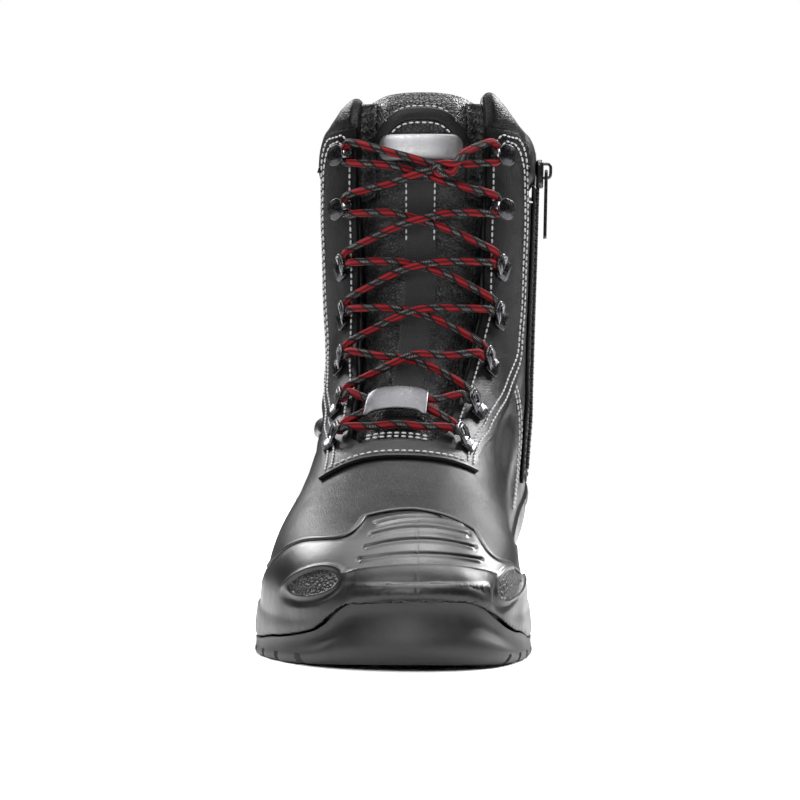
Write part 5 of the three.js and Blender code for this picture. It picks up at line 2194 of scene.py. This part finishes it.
class BOOT_OT_studio(BootPiece):
    """Pale floor, soft studio lights and the camera"""

    bl_idname = "boot.studio"
    bl_label = "Studio"

    def execute(self, context):
        bm = bmesh.new()
        bmesh.ops.create_circle(bm, cap_ends=True, segments=96, radius=FLOOR_RADIUS)
        mesh = bpy.data.meshes.new("floor")
        bm.to_mesh(mesh)
        bm.free()
        floor = bpy.data.objects.new("floor", mesh)
        context.scene.collection.objects.link(floor)
        floor.data.materials.append(finish_of("Studio floor"))
        context.scene.world = self.surroundings()
        context.scene.view_settings.view_transform = "Standard"
        for name, (place_of, size, power) in LIGHTS.items():
            self.light(name, place_of, size, power * self.sizes.light)
        self.camera(context)
        return {"FINISHED"}

    def surroundings(self):
        """A white backdrop that lights the boot only a little."""
        world = bpy.data.worlds.new("Studio")
        world.use_nodes = True
        tree = world.node_tree
        dim = tree.nodes["Background"]
        dim.inputs["Color"].default_value = (1.0, 1.0, 1.0, 1)
        dim.inputs["Strength"].default_value = BACKDROP_LIGHT
        pale = tree.nodes.new("ShaderNodeBackground")
        pale.inputs["Color"].default_value = (1.0, 1.0, 1.0, 1)
        seen = tree.nodes.new("ShaderNodeLightPath")
        mixed = tree.nodes.new("ShaderNodeMixShader")
        tree.links.new(seen.outputs["Is Camera Ray"], mixed.inputs["Fac"])
        tree.links.new(dim.outputs["Background"], mixed.inputs[1])
        tree.links.new(pale.outputs["Background"], mixed.inputs[2])
        tree.links.new(mixed.outputs["Shader"], tree.nodes["World Output"].inputs["Surface"])
        return world

    def aim(self, obj, place_of, target):
        obj.location = place_of
        obj.rotation_euler = (Vector(target) - Vector(place_of)).to_track_quat("-Z", "Y").to_euler()

    def light(self, name, place_of, size, power):
        data = bpy.data.lights.new(name, "AREA")
        data.shape = "SQUARE"
        data.size = size
        data.energy = power
        lamp = bpy.data.objects.new(name, data)
        bpy.context.scene.collection.objects.link(lamp)
        self.aim(lamp, place_of, (0, -0.1, 0.1))

    def camera(self, context):
        data = bpy.data.cameras.new("camera")
        data.sensor_width = SENSOR
        data.lens = LENS
        data.clip_end = 60
        eye = bpy.data.objects.new("camera", data)
        context.scene.collection.objects.link(eye)
        self.aim(eye, EYE / 1000, AIM / 1000)
        context.scene.camera = eye


PIECES = (
    BOOT_OT_upper,
    BOOT_OT_sole,
    BOOT_OT_facing,
    BOOT_OT_collar,
    BOOT_OT_tongue,
    BOOT_OT_hardware,
    BOOT_OT_laces,
    BOOT_OT_zip,
    BOOT_OT_seams,
    BOOT_OT_ankle_band,
    BOOT_OT_studio,
)


class BOOT_PT_pieces(bpy.types.Panel):
    """Lists the boot's pieces and its settings"""

    bl_label = "Winter safety boot"
    bl_idname = "BOOT_PT_pieces"
    bl_space_type = "VIEW_3D"
    bl_region_type = "UI"
    bl_category = "Boot"

    def draw(self, context):
        layout = self.layout
        for settings in (context.scene.boot_sizes, context.scene.boot_finish):
            box = layout.box()
            for name in settings.bl_rna.properties.keys():
                if name not in ("rna_type", "name"):
                    box.prop(settings, name)
        for piece in PIECES:
            layout.operator(piece.bl_idname)


CLASSES = (BootSizes, BootFinish, *PIECES, BOOT_PT_pieces)


def register():
    for cls in CLASSES:
        bpy.utils.register_class(cls)
    bpy.types.Scene.boot_sizes = bpy.props.PointerProperty(type=BootSizes)
    bpy.types.Scene.boot_finish = bpy.props.PointerProperty(type=BootFinish)


def unregister():
    del bpy.types.Scene.boot_finish
    del bpy.types.Scene.boot_sizes
    for cls in reversed(CLASSES):
        bpy.utils.unregister_class(cls)


def main():
    register()
    bpy.ops.boot.upper()
    bpy.ops.boot.sole()
    bpy.ops.boot.facing()
    bpy.ops.boot.collar()
    bpy.ops.boot.tongue()
    bpy.ops.boot.hardware()
    bpy.ops.boot.laces()
    bpy.ops.boot.zip()
    bpy.ops.boot.seams()
    bpy.ops.boot.ankle_band()
    bpy.ops.boot.studio()


if __name__ == "__main__":
    main()
